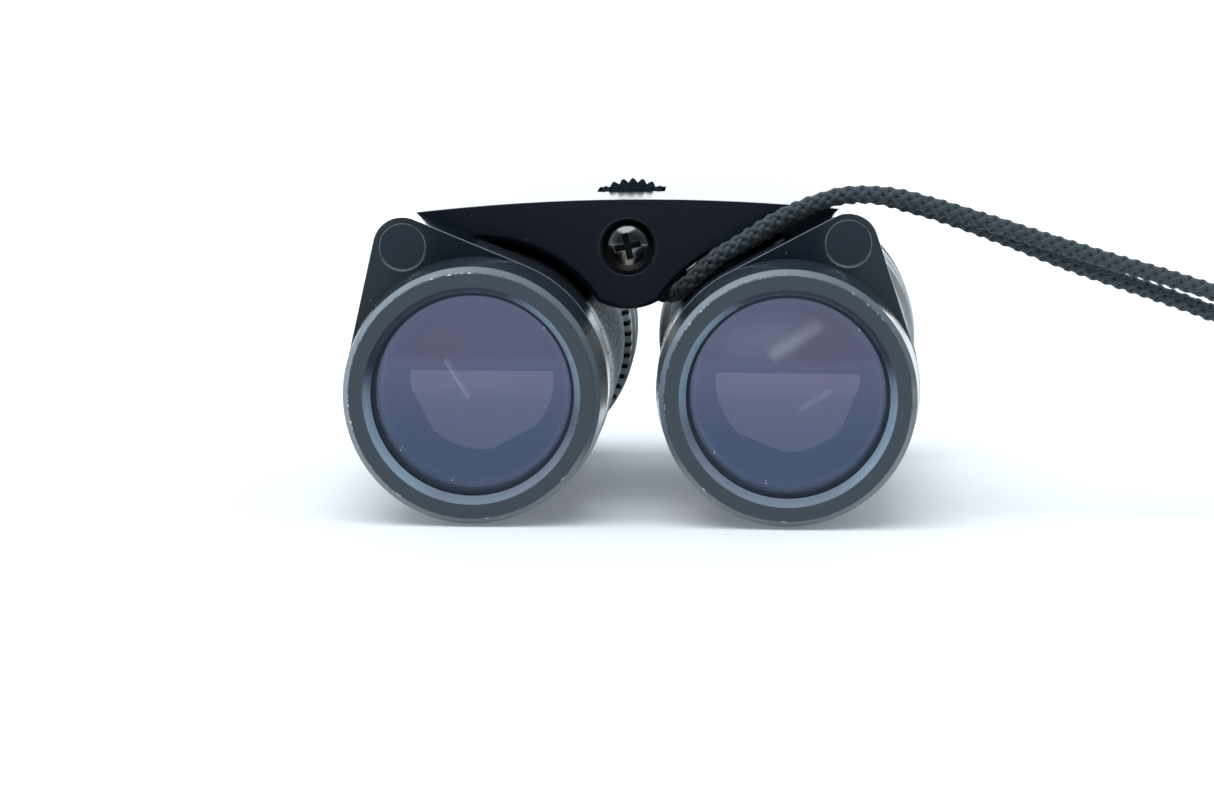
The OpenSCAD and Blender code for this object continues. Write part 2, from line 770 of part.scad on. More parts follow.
// A point between p[i] and p[i + 1] on a smooth curve through all of them
function curve(p, i, t) =
  let (
    a = p[max(i - 1, 0)],
    b = p[i],
    c = p[i + 1],
    d = p[min(i + 2, len(p) - 1)]
  )
  0.5 * (2 * b + (c - a) * t + (2 * a - 5 * b + 4 * c - d) * t * t
    + (3 * b - a - 3 * c + d) * t * t * t);

function unit(v) = v / norm(v);

// Points round the cord at one ring, square to the cord
function cord_ring(at, along) =
  let (
    side = unit(cross(along, [0, 0, 1])),
    over = cross(side, along)
  )
  [for (k = [0:CORD_SIDES - 1])
    at + cord_d / 2 * (cos(k * 360 / CORD_SIDES) * side + sin(k * 360 / CORD_SIDES) * over)];

module wrist_cord() {
  path = [
    for (i = [0:len(CORD) - 2])
      for (t = norm(CORD[i + 1] - CORD[i]) > 3 * cord_d ? [0, 0.5] : [0]) curve(CORD, i, t),
    CORD[len(CORD) - 1]
  ];
  last = len(path) - 1;
  rings = [for (i = [0:last])
    cord_ring(path[i], unit(path[min(i + 1, last)] - path[max(i - 1, 0)]))];
  color("#3a3d38") polyhedron(
    points = [for (r = rings) each r],
    faces = [
      [for (k = [0:CORD_SIDES - 1]) k],
      for (i = [0:last - 1]) for (k = [0:CORD_SIDES - 1])
        let (a = i * CORD_SIDES + k, b = i * CORD_SIDES + (k + 1) % CORD_SIDES)
        [a, a + CORD_SIDES, b + CORD_SIDES, b],
      [for (k = [CORD_SIDES - 1:-1:0]) last * CORD_SIDES + k]
    ]
  );
}

bridge_body();
bridge_front_plate();
bridge_screw();
bridge_bottom_cover();
cover_screws();
hinge_pin(LEFT);  // left_hinge_pin
hinge_pin(RIGHT);  // right_hinge_pin
strap_bar();
focus_wheel();
focus_spindle();
focus_carriage();
focus_rod(LEFT);  // left_focus_rod
focus_rod(RIGHT);  // right_focus_rod
barrel(LEFT);  // left_barrel
barrel(RIGHT);  // right_barrel
covering(LEFT);  // left_covering
covering(RIGHT);  // right_covering
bezel(LEFT);  // left_bezel
bezel(RIGHT);  // right_bezel
hinge_cap(LEFT);  // left_hinge_cap
hinge_cap(RIGHT);  // right_hinge_cap
prism_carrier(LEFT);  // left_prism_carrier
prism_carrier(RIGHT);  // right_prism_carrier
prism(LEFT);  // left_prism
prism(RIGHT);  // right_prism
objective_cell(LEFT);  // left_objective_cell
objective_cell(RIGHT);  // right_objective_cell
objective_lens(LEFT);  // left_objective_lens
objective_lens(RIGHT);  // right_objective_lens
lens_ring(LEFT);  // left_lens_ring
lens_ring(RIGHT);  // right_lens_ring
dioptre_ring();
eyepiece_cell(LEFT);  // left_eyepiece_cell
field_lens(LEFT);  // left_field_lens
eye_lens(LEFT);  // left_eye_lens
rear_rim(LEFT);  // left_rear_rim
eyecup(LEFT);  // left_eyecup
right_rear_ring();
eyepiece_cell(RIGHT);  // right_eyepiece_cell
field_lens(RIGHT);  // right_field_lens
eye_lens(RIGHT);  // right_eye_lens
rear_rim(RIGHT);  // right_rear_rim
eyecup(RIGHT);  // right_eyecup
cord_hitch();
wrist_cord();
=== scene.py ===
"""Folding pocket binoculars: finishes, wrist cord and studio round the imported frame.

Everything is in metres in the row frame. +Y runs from the objectives to the
eyepieces and +Z is up. Shader maths is in millimetres, measured in the frame of
the barrel, hinge or spindle that a finish belongs to.
"""
import json
import logging
import math
from dataclasses import dataclass, field
from enum import Enum
from functools import cached_property
from typing import Any, Callable, Iterable, Optional, Sequence, Union

import bmesh
import bpy
from mathutils import Matrix, Vector


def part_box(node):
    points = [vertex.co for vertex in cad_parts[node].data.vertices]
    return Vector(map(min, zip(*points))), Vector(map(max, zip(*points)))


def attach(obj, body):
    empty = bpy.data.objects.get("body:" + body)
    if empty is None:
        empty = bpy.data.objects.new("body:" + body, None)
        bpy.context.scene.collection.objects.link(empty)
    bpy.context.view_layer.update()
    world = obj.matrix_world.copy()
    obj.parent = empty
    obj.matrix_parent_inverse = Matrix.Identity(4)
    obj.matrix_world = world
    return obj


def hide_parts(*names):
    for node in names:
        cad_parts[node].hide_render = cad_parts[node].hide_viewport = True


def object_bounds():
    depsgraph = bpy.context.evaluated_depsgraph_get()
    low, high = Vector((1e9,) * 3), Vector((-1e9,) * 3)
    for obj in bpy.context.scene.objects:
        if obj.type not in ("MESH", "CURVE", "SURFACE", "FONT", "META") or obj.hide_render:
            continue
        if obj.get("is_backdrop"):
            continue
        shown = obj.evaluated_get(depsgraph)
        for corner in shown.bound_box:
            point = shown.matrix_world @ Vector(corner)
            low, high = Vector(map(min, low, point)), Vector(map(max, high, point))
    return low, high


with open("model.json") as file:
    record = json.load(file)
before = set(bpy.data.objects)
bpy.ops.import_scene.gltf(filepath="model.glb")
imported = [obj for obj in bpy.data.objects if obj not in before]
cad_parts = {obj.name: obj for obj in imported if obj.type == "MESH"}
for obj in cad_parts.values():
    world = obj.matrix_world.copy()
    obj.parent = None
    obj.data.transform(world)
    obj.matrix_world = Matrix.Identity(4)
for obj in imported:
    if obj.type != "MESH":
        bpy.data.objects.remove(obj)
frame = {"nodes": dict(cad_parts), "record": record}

LOG = logging.getLogger("binoculars")
MM = 0.001
YARN_UV = "yarn"

Colour = tuple[float, float, float]
Material = bpy.types.Material
Piece = bpy.types.Object
UP = Vector((0, 0, 1))
COOL = (0.86, 0.95, 1.0)        # tint of a satin or a nap
FLAT = (1.0, 0.0, 1.0)          # factors that lay a pattern on the XZ plane
UNDER_BRIDGE = (0.24, 0.97)     # inward and upward, from a barrel's axis to the bridge
GRAIN = 0.28                    # size of the grain in enamel
SPECK_NOTCH = 0.35              # size and depth of the notches in a speck's outline
SPECK_SMALLEST = 0.3            # the smallest speck, as a share of the largest
SPECK_SOFT = 0.01               # softness of a speck's outline, as a share of its cell


class Side(Enum):
    """The two barrels, as seen from the objectives."""

    LEFT = "left"
    RIGHT = "right"


# Places.


@dataclass(frozen=True)
class Place:
    """A local frame: an origin, with Y along an axis and Z as near up as it can be."""

    origin: Vector
    along: Vector
    up: Vector = field(default_factory=UP.copy)

    def matrix(self) -> Matrix:
        """The local frame as a matrix.

        Returns:
            A matrix that takes local points to the row frame.
        """
        y = self.along.normalized()
        x = y.cross(self.up).normalized()
        z = x.cross(y)
        return Matrix.Translation(self.origin) @ Matrix((x, y, z)).transposed().to_4x4()

    def inverse(self) -> Matrix:
        """The turn that takes directions of the row frame to the local frame."""
        return self.matrix().to_3x3().inverted()


def joint(name: str) -> dict[str, Any]:
    """A joint of the record, by name."""
    return next(j for j in frame["record"]["behaviour"]["joints"] if j["name"] == name)


def mount(name: str) -> dict[str, Any]:
    """A mount of the record, by name."""
    return next(m for m in frame["record"]["mounts"] if m["name"] == name)


def level_with(node: str, entry: dict[str, Any], axis: Vector) -> Vector:
    """The point of an axis, from a joint's or mount's entry, that is level with a node's front."""
    pos = Vector(entry["pos_m"])
    return pos + axis * (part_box(node)[0][1] - pos.y) / axis.y


def hinge_place(side: Side) -> Place:
    """The hinge of a barrel, at the front face of its arm's cap."""
    axis = Vector(joint("focus_turn")["axis"])
    return Place(level_with(f"{side.value}_hinge_cap", joint(f"{side.value}_hinge"), axis), axis)


def barrel_place(side: Side) -> Place:
    """A barrel's axis, at its bezel's face, with Z towards its hinge.

    Args:
        side: The barrel.

    Returns:
        The place.
    """
    seat = mount(f"{side.value}_eyecup_bore")
    axis = Vector(seat["axis"])
    face = level_with(f"{side.value}_bezel", seat, axis)
    return Place(face, axis, Vector(joint(f"{side.value}_hinge")["pos_m"]) - face)


def spindle_place() -> Place:
    """The focus spindle's axis, at the front plate's face."""
    axis = Vector(joint("focus_turn")["axis"])
    return Place(level_with("bridge_front_plate", joint("focus_turn"), axis), axis)


def placed(name: str, data: bpy.types.ID) -> Piece:
    """Puts data into the scene as an object.

    Args:
        name: The object's name.
        data: Its mesh, curve, lamp or camera.

    Returns:
        The object.
    """
    made = bpy.data.objects.new(name, data)
    bpy.context.scene.collection.objects.link(made)
    return made


# Shader expressions.

Value = Union["Sock", float, int, Sequence[float]]


def math_method(operation: str, last: bool = False) -> Callable[..., "Sock"]:
    """Makes a method of Sock that adds one Math node.

    Args:
        operation: The node's operation.
        last: Whether the socket itself is the node's last value, not its first.

    Returns:
        The method.
    """

    def method(self: "Sock", *others: Value) -> "Sock":
        """Adds the node and returns its value."""
        values = (*others, self) if last else (self, *others)
        return self.shader.node("Math", {"operation": operation}, *values)

    return method


class Sock:
    """A value socket that takes part in Python expressions."""

    __add__ = __radd__ = math_method("ADD")
    __sub__ = math_method("SUBTRACT")
    __rsub__ = math_method("SUBTRACT", last=True)
    __mul__ = math_method("MULTIPLY")
    __truediv__ = math_method("DIVIDE")
    absolute = math_method("ABSOLUTE")
    sine = math_method("SINE")
    root = math_method("SQRT")
    at_least = math_method("MAXIMUM")
    at_most = math_method("MINIMUM")

    def __init__(self, shader: "Shader", socket: bpy.types.NodeSocket) -> None:
        """Keeps a socket with the shader that its maths is added to."""
        self.shader = shader
        self.socket = socket

    def __neg__(self) -> "Sock":
        """This value with its sign turned."""
        return self * -1.0

    def step(self, low: float, high: float) -> "Sock":
        """A smooth rise from 0 at low to 1 at high; with high below low, it falls."""
        ends = (low, high, 0.0, 1.0) if low < high else (high, low, 1.0, 0.0)
        return self.shader.node("MapRange", {"interpolation_type": "SMOOTHSTEP"}, self, *ends)

    def band(self, middle: float, half: float, soft: float) -> "Sock":
        """1 up to half a width from the middle, and 0 beyond a soft edge."""
        return (self - middle).absolute().step(half + soft, half)

    def wave(self) -> "Sock":
        """The sine of this value, from 0 to 1."""
        return self.sine() * 0.5 + 0.5


def length(*parts: Sock) -> Sock:
    """The length of a vector, from its parts."""
    return sum((part * part for part in parts[1:]), parts[0] * parts[0]).root()


def times(colour: Colour, factor: float) -> Colour:
    """A colour made lighter or darker."""
    return tuple(factor * c for c in colour)


class Shader:
    """A material or a world under construction."""

    def __init__(self, target: Union[str, bpy.types.World], place: Optional[Place] = None) -> None:
        """Makes an empty node material, or empties a world.

        Args:
            target: The material's name, or the world.
            place: The frame that a material's pattern lies in.
        """
        self.world = not isinstance(target, str)
        self.place = place
        self.material = target if self.world else bpy.data.materials.new(target)
        self.material.use_nodes = True
        self.tree = self.material.node_tree
        self.tree.nodes.clear()

    def node(self, kind: str, settings: dict[str, Any], *values: Value, out: Optional[str] = None,
             **named: Optional[Value]) -> Sock:
        """Adds any node.

        Args:
            kind: The node's type, without ShaderNode in front.
            settings: Its properties, set before its inputs.
            values: Values or sockets for its inputs, in order.
            out: The name of the output wanted; without it, the first.
            named: Values or sockets for inputs by name, with _ for a space; None leaves one.

        Returns:
            The wanted output.
        """
        made = self.tree.nodes.new("ShaderNode" + kind)
        for key, value in settings.items():
            setattr(made, key, value)
        pairs = list(zip([s for s in made.inputs if s.enabled], values))
        pairs += [(made.inputs[key.replace("_", " ")], value) for key, value in named.items()]
        for socket, value in pairs:
            if value is not None:
                self.feed(socket, value)
        return Sock(self, made.outputs[out] if out else next(s for s in made.outputs if s.enabled))

    def feed(self, socket: bpy.types.NodeSocket, value: Value) -> None:
        """Links or sets one input.

        Args:
            socket: The input.
            value: What goes into it.
        """
        if isinstance(value, Sock):
            self.tree.links.new(value.socket, socket)
        else:
            socket.default_value = (*value, 1.0) if socket.type == "RGBA" else value

    @cached_property
    def row(self) -> Sock:
        """Coordinates in the row frame, in metres."""
        return self.node("TexCoord", {}, out="Object")

    @cached_property
    def at(self) -> Sock:
        """Coordinates in the pattern's frame, in millimetres."""
        return self.node("Mapping", {"vector_type": "TEXTURE"}, self.row, tuple(self.place.origin),
                         tuple(self.place.matrix().to_euler("XYZ")), (MM, MM, MM))

    @cached_property
    def xyz(self) -> tuple[Sock, Sock, Sock]:
        """The three parts of the coordinates in the pattern's frame."""
        return self.parts(self.at)

    @cached_property
    def reach(self) -> Sock:
        """Distance from the pattern's axis, in millimetres."""
        return length(self.xyz[0], self.xyz[2])

    @cached_property
    def plain(self) -> Sock:
        """The surface's own normal, in the row frame."""
        return self.node("NewGeometry", {}, out="Normal")

    def turned_normal(self) -> Sock:
        """The surface's normal, in the pattern's frame."""
        return self.node("Mapping", {"vector_type": "VECTOR"}, self.node("TexCoord", {}, out="Normal"),
                         tuple(self.place.inverse().to_euler("XYZ")))

    def parts(self, vector: Sock) -> tuple[Sock, Sock, Sock]:
        """The three parts of a vector."""
        made = self.node("SeparateXYZ", {}, vector)
        return tuple(Sock(self, s) for s in made.socket.node.outputs)

    def dot(self, one: Value, other: Value) -> Sock:
        """The dot product of two vectors."""
        return self.node("VectorMath", {"operation": "DOT_PRODUCT"}, one, other, out="Value")

    def scaled(self, *factors: float) -> Sock:
        """The pattern's coordinates times a factor for each axis."""
        return self.node("VectorMath", {"operation": "MULTIPLY"}, self.at, factors)

    def sector(self, towards: Vector) -> Sock:
        """The cosine of the angle, seen along the pattern's axis, from a direction to a point."""
        aim, (x, _, z) = self.place.inverse() @ towards, self.xyz
        return (x * aim.x + z * aim.z) / self.reach

    def sheltered(self) -> Sock:
        """A mask, 1 where a barrel's outside lies close under the bridge."""
        inward = math.copysign(UNDER_BRIDGE[0], -self.place.origin.x)
        return self.sector(Vector((inward, 0.0, UNDER_BRIDGE[1]))).step(0.70, 0.78)

    def from_spot(self, spot: Sequence[float]) -> Sock:
        """Distance to a line along Y, given by its X and Z."""
        x, _, z = self.xyz
        return length(x - spot[0], z - spot[1])

    def from_line(self, ends: Sequence[float]) -> Sock:
        """Distance to a straight line in the XZ plane.

        Args:
            ends: X and Z of the line's start, then of its end.

        Returns:
            The distance, in millimetres.
        """
        x, _, z = self.xyz
        x0, z0, x1, z1 = ends
        wide, tall = x1 - x0, z1 - z0
        share = ((x - x0) * wide + (z - z0) * tall) / (wide * wide + tall * tall)
        share = share.at_least(0.0).at_most(1.0)
        return length(x - x0 - share * wide, z - z0 - share * tall)

    def noise(self, size: float, detail: float = 3.0, rough: float = 0.5,
              over: Optional[Sock] = None) -> Sock:
        """Noise from 0 to 1, with features of about the given size."""
        return self.node("TexNoise", {}, Vector=over or self.at, Scale=1.0 / size, Detail=detail,
                         Roughness=rough, out="Fac")

    def borders(self, vector: Sock, size: float) -> Sock:
        """Distance to the nearest border between cells of the given size."""
        return self.node("TexVoronoi", {"feature": "DISTANCE_TO_EDGE"}, Vector=vector, Scale=1.0 / size,
                         out="Distance")

    def ragged(self, vector: Sock, size: float, detail: float, reach: float) -> Sock:
        """Moves coordinates by noise, to make outlines ragged.

        Args:
            vector: The coordinates.
            size: Size of the noise's features.
            detail: The noise's detail.
            reach: How far it moves a point.

        Returns:
            The moved coordinates.
        """
        shift = (self.noise(size, detail, over=vector) - 0.5) * (2 * reach)
        offset = self.node("CombineXYZ", {}, shift, -shift, shift)
        return self.node("VectorMath", {"operation": "ADD"}, vector, offset)

    def specks(self, spacing: float, radius: float, share: float, squash: Sequence[float] = ()) -> Sock:
        """Scattered dust specks.

        Args:
            spacing: Size of the cells that hold at most one speck each.
            radius: Radius of the largest speck.
            share: The share of the cells that hold one.
            squash: Factors on the coordinates; one below 1 draws the specks out along its axis.

        Returns:
            A mask, 1 on a speck.
        """
        vector = self.scaled(*squash) if squash else self.at
        cell = self.node("TexVoronoi", {"feature": "F1"}, Scale=1.0 / spacing, out="Distance",
                         Vector=self.ragged(vector, SPECK_NOTCH, 3.0, SPECK_NOTCH))
        red, green, _ = self.parts(Sock(self, cell.socket.node.outputs["Color"]))
        limit = (green * (1.0 - SPECK_SMALLEST) + SPECK_SMALLEST) * (radius / spacing)
        chosen = red.step(1.0 - share, 1.0 - share + SPECK_SOFT)
        return (cell - limit).step(SPECK_SOFT, -SPECK_SOFT) * chosen

    def mix(self, share: Value, low: Value, high: Value) -> Sock:
        """A mix of two colours: a share of 0 gives the first and 1 the second."""
        return self.node("Mix", {"data_type": "RGBA"}, share, low, high)

    def layered(self, base: Value, *layers: tuple[Value, Value]) -> Value:
        """Lays colours over one another.

        Args:
            base: The lowest colour.
            layers: The mask and the colour of each of the others, from below.

        Returns:
            The whole.
        """
        for share, colour in layers:
            base = self.mix(share, base, colour)
        return base

    def rounded(self, radius: float) -> Sock:
        """The normal with edges rounded to a radius in millimetres."""
        return self.node("Bevel", {"samples": 6}, radius * MM)

    def bump(self, height: Value, depth: float, normal: Optional[Sock] = None) -> Sock:
        """A bumped normal, from a height of 0 to 1 that stands for a depth in millimetres."""
        return self.node("Bump", {}, Height=height, Strength=1.0, Distance=depth * MM, Normal=normal)

    def facing(self, direction: Vector) -> Sock:
        """How squarely a face looks along a direction, from -1 to 1."""
        return self.dot(self.plain, tuple(direction))

    def edges(self, radius: float) -> Sock:
        """A mask, 0 on flat ground and rising within a radius of a sharp edge."""
        return 1.0 - self.dot(self.rounded(radius), self.plain)

    def surface(self, colour: Value, rough: Value, shine: float = 0.5, normal: Optional[Sock] = None,
                **more: Value) -> Sock:
        """A Principled surface; more inputs go by name, with _ for a space."""
        return self.node("BsdfPrincipled", {}, Base_Color=colour, Roughness=rough,
                         Specular_IOR_Level=shine, Normal=normal, **more)

    def blend(self, share: Value, one: Sock, other: Sock) -> Sock:
        """A mix of two shaders: 0 gives the first and 1 the second."""
        return self.node("MixShader", {}, share, one, other)

    def done(self, shader: Sock) -> Material:
        """Ends the material or the world with a shader.

        Args:
            shader: The shader.

        Returns:
            The material or the world.
        """
        kind = "ShaderNodeOutputWorld" if self.world else "ShaderNodeOutputMaterial"
        output = self.tree.nodes.new(kind)
        self.tree.links.new(shader.socket, output.inputs["Surface"])
        return self.material


# Finishes.


class Finish:
    """A finish, made into a material in a local frame."""

    def make(self, name: str, place: Optional[Place] = None) -> Material:
        """Builds the material, with its pattern in a place's frame."""
        s = Shader(name, place)
        return s.done(self.paint(s))

    def paint(self, s: Shader) -> Sock:
        """Adds the finish's nodes to a material and returns its shader."""
        raise NotImplementedError


@dataclass(frozen=True)
class Enamel(Finish):
    """Dark baked enamel on a casting, matte in front and glossy on its flanks.

    A painted highlight, partly worn bare metal, may follow its edges that face one side;
    a painted glare may lighten it towards one X; and the hub inside one radius may be
    sheltered from the light.
    """

    colour: Colour = (0.0035, 0.0070, 0.0150)
    edge: Colour = (0.13, 0.17, 0.22)
    painted_glare: Colour = (0.026, 0.038, 0.048)
    # The bare colour is for worn metal and also for the painted edge highlight.
    bare: Colour = (0.52, 0.64, 0.74)
    fluff: Colour = (0.56, 0.6, 0.64)
    cloud: float = 9.0
    gloss: float = 0.42
    shine: float = 0.16
    dust: float = 0.16
    flank: float = 0.85
    flank_rough: float = 0.28
    soft_edge: float = 0.3
    wear: float = 0.16
    polish: float = 0.0
    line: float = 0.0
    painted_highlight_wide: float = 0.18
    painted_highlight_side: tuple[float, float, float] = (0.0, 0.0, 1.0)
    painted_glare_x: float = 0.0
    painted_glare_wide: float = 9.0
    hub_r: float = 0.0

    def dusted(self, s: Shader, front: Sock) -> Sock:
        """A mask of specks and lint, with more of both in front.

        Args:
            s: The material.
            front: A mask of what faces forward.

        Returns:
            The mask.
        """
        specks = s.specks(2.2, 0.15, self.dust)
        lint = s.specks(3.4, 0.11, self.dust * 0.6, (1.0, 1.0, 0.35))
        flat = s.specks(1.7, 0.12, self.dust, FLAT)
        hairs = s.specks(2.0, 0.07, self.dust * 0.7, (0.3, 0.0, 1.0))
        return specks.at_least(lint).at_least(flat.at_least(hairs) * front)

    def tinted(self, s: Shader, cloud: Sock, dust: Sock) -> Sock:
        """The colour with its painted glare, worn edges, painted edge highlight and dust.

        Args:
            s: The material.
            cloud: The noise that varies the coat.
            dust: The mask of the dust.

        Returns:
            The colour.
        """
        layers = [(cloud.step(0.3, 0.7), times(self.colour, 1.25))]
        # Painted glare: the coat is painted lighter towards its outer side.
        if self.painted_glare_x:
            outward = s.parts(s.row)[0] * math.copysign(1.0 / MM, self.painted_glare_x)
            far = abs(self.painted_glare_x)
            layers.append((outward.step(far - self.painted_glare_wide, far), self.painted_glare))
        worn = (s.edges(self.wear) * (s.noise(1.1, 4.0) * 1.4)).step(0.08, 0.5)
        layers.append((worn * 0.7, self.edge))
        # Painted highlight: a line in the colour of bare metal along the edges that face one side,
        # partly real wear.
        if self.line:
            towards = s.dot(s.rounded(0.2), self.painted_highlight_side).step(0.1, 0.5)
            near = s.edges(self.painted_highlight_wide).step(0.02, 0.12)
            layers.append((near * towards * self.line, self.bare))
        return s.layered(self.colour, *layers, (dust * 0.85, self.fluff))

    def paint(self, s: Shader) -> Sock:
        """Adds the enamel's nodes.

        Args:
            s: The material.

        Returns:
            Its shader.
        """
        front = s.facing(-s.place.along).step(0.5, 0.9)
        side = 1.0 - front
        cloud, dust = s.noise(self.cloud), self.dusted(s, front)
        polish, shade = side * self.polish, 0.0
        rim = s.edges(0.5).step(0.02, 0.3) * front
        coat = (side * s.facing(UP).step(-0.35, 0.0)).at_least(rim * 0.6) * self.flank
        if self.hub_r:
            shade = s.sheltered() * s.reach.step(self.hub_r + 0.4, self.hub_r) * side
            polish, coat = polish * (1.0 - shade), coat * (1.0 - shade)
        rough = (cloud * 0.12 + (self.gloss - 0.06)) * (1.0 - polish) + dust * 0.3 + shade * 0.4
        return s.surface(self.tinted(s, cloud, dust), rough, self.shine,
                         s.bump(s.noise(GRAIN), 0.004, s.rounded(self.soft_edge)),
                         Coat_Weight=coat, Coat_Roughness=self.flank_rough, Coat_IOR=1.5)


@dataclass(frozen=True)
class HingeCap(Finish):
    """Enamelled cap with the fine bright line of its rim."""

    radius: float = 3.05
    colour: Colour = (0.017, 0.025, 0.035)
    bright: Colour = (0.2, 0.22, 0.24)
    fluff: Colour = (0.5, 0.52, 0.54)
    shine: float = 0.16

    def paint(self, s: Shader) -> Sock:
        """Adds the cap's nodes.

        Args:
            s: The material.

        Returns:
            Its shader.
        """
        cloud, broken = s.noise(5.0), (s.noise(1.6) * 1.3).step(0.35, 0.7)
        ring = s.reach.band(self.radius - 0.09, 0.03, 0.05) * broken
        base = s.layered(self.colour, (cloud, times(self.colour, 1.4)), (ring * 0.8, self.bright),
                         (s.specks(1.5, 0.1, 0.2) * 0.75, self.fluff))
        return s.surface(base, cloud * 0.1 + 0.36, self.shine,
                         s.bump(s.noise(GRAIN), 0.006, s.rounded(0.15)))


@dataclass(frozen=True)
class TurnedRim(Finish):
    """Turned grey enamel of a bezel, chipped to bare metal along its rim, with a painted highlight
    along its face's edge and painted light and shade on its cone.
    """

    colour: Colour = (0.027, 0.042, 0.057)
    bare: Colour = (0.55, 0.62, 0.68)
    # The dim and the lit colour of the painted highlight along the face's edge.
    painted_sheen: Colour = (0.095, 0.125, 0.155)
    bright: Colour = (0.21, 0.27, 0.33)
    fluff: Colour = (0.55, 0.57, 0.58)
    face_r: float = 15.65
    edge_r: float = 16.4
    cone_r: float = 13.85
    painted_lit_cone: Colour = (0.20, 0.25, 0.32)
    painted_shaded_cone: Colour = (0.025, 0.038, 0.052)
    painted_lit_cone_side: Colour = (0.27, 0.37, 0.47)
    tool_marks: float = 26.0

    def stripped(self, s: Shader) -> Sock:
        """A mask of bare metal: chips along the rim and scratches on the flank.

        Args:
            s: The material.

        Returns:
            The mask.
        """
        y = s.xyz[1]
        rim = s.reach.band(self.face_r + 0.06, 0.05, 0.14)
        outer = s.reach.band(self.edge_r, 0.15, 0.5) * y.step(1.6, 0.7) * 0.5
        chips = s.noise(0.55, 5.0, 0.62) + rim * 0.14 + s.noise(5.5, 2.0).step(0.42, 0.66) * 0.16
        scratch = s.noise(0.3, 4.0, over=s.scaled(0.35, 6.0, 0.35)).step(0.7, 0.8) * y.step(0.6, 1.4)
        return (chips.step(0.83, 0.88) * rim.at_least(outer)).at_least(scratch * 0.35)

    def cone(self, s: Shader) -> Sock:
        """The colour of the cone inside the face: painted light low down and at the sides, painted
        shade at the top.

        Args:
            s: The material.

        Returns:
            The colour.
        """
        level = s.parts(s.row)[2] * (1.0 / MM) - s.place.origin.z / MM
        return s.layered(self.painted_shaded_cone, (level.step(3.0, -9.0), self.painted_lit_cone),
                         ((s.xyz[0].absolute() / s.reach).step(0.7, 0.98), self.painted_lit_cone_side))

    def paint(self, s: Shader) -> Sock:
        """Adds the bezel's nodes.

        Args:
            s: The material.

        Returns:
            Its shader.
        """
        y, bare, cloud = s.xyz[1], self.stripped(s), s.noise(3.0, 4.0)
        # Painted highlight along the face's edge: lighter on the side towards the upper left, where the
        # light falls, and dimmer elsewhere.
        ragged = s.reach + (s.noise(0.7, 4.0) - 0.5) * 0.5
        painted_rim_highlight = ragged.step(self.face_r, self.face_r + 0.2) * y.step(1.7, 1.4)
        lit = s.sector(Vector((-0.8, 0.0, 0.6))).step(0.3, 0.95)
        turned = s.reach.step(self.cone_r + 0.05, self.cone_r - 0.05)
        base = s.layered(self.colour, (cloud, times(self.colour, 1.16)),
                         (painted_rim_highlight * 0.8, s.mix(lit, self.painted_sheen, self.bright)), (bare, self.bare),
                         (s.specks(1.8, 0.1, 0.1, FLAT) * y.step(1.5, 1.3) * 0.6, self.fluff),
                         (turned, self.cone(s)))
        side = 1.0 - s.facing(-s.place.along).step(0.55, 0.95)
        flank = y.step(1.3, 1.6)
        coat = side * (1.0 - turned) * (1.0 - s.sheltered() * flank * 0.8) * (1.0 - flank * 0.6)
        marks = (s.reach * self.tool_marks).wave() * 0.5 + s.noise(0.2, 2.0) * 0.5
        return s.surface(base, (0.42 + cloud * 0.1 - bare * 0.12) * (1.0 - flank * 0.65), 0.5,
                         s.bump(marks, 0.004, s.rounded(0.18)), Metallic=bare * 0.8,
                         Coat_Weight=coat, Coat_Roughness=0.12, Coat_IOR=1.6)


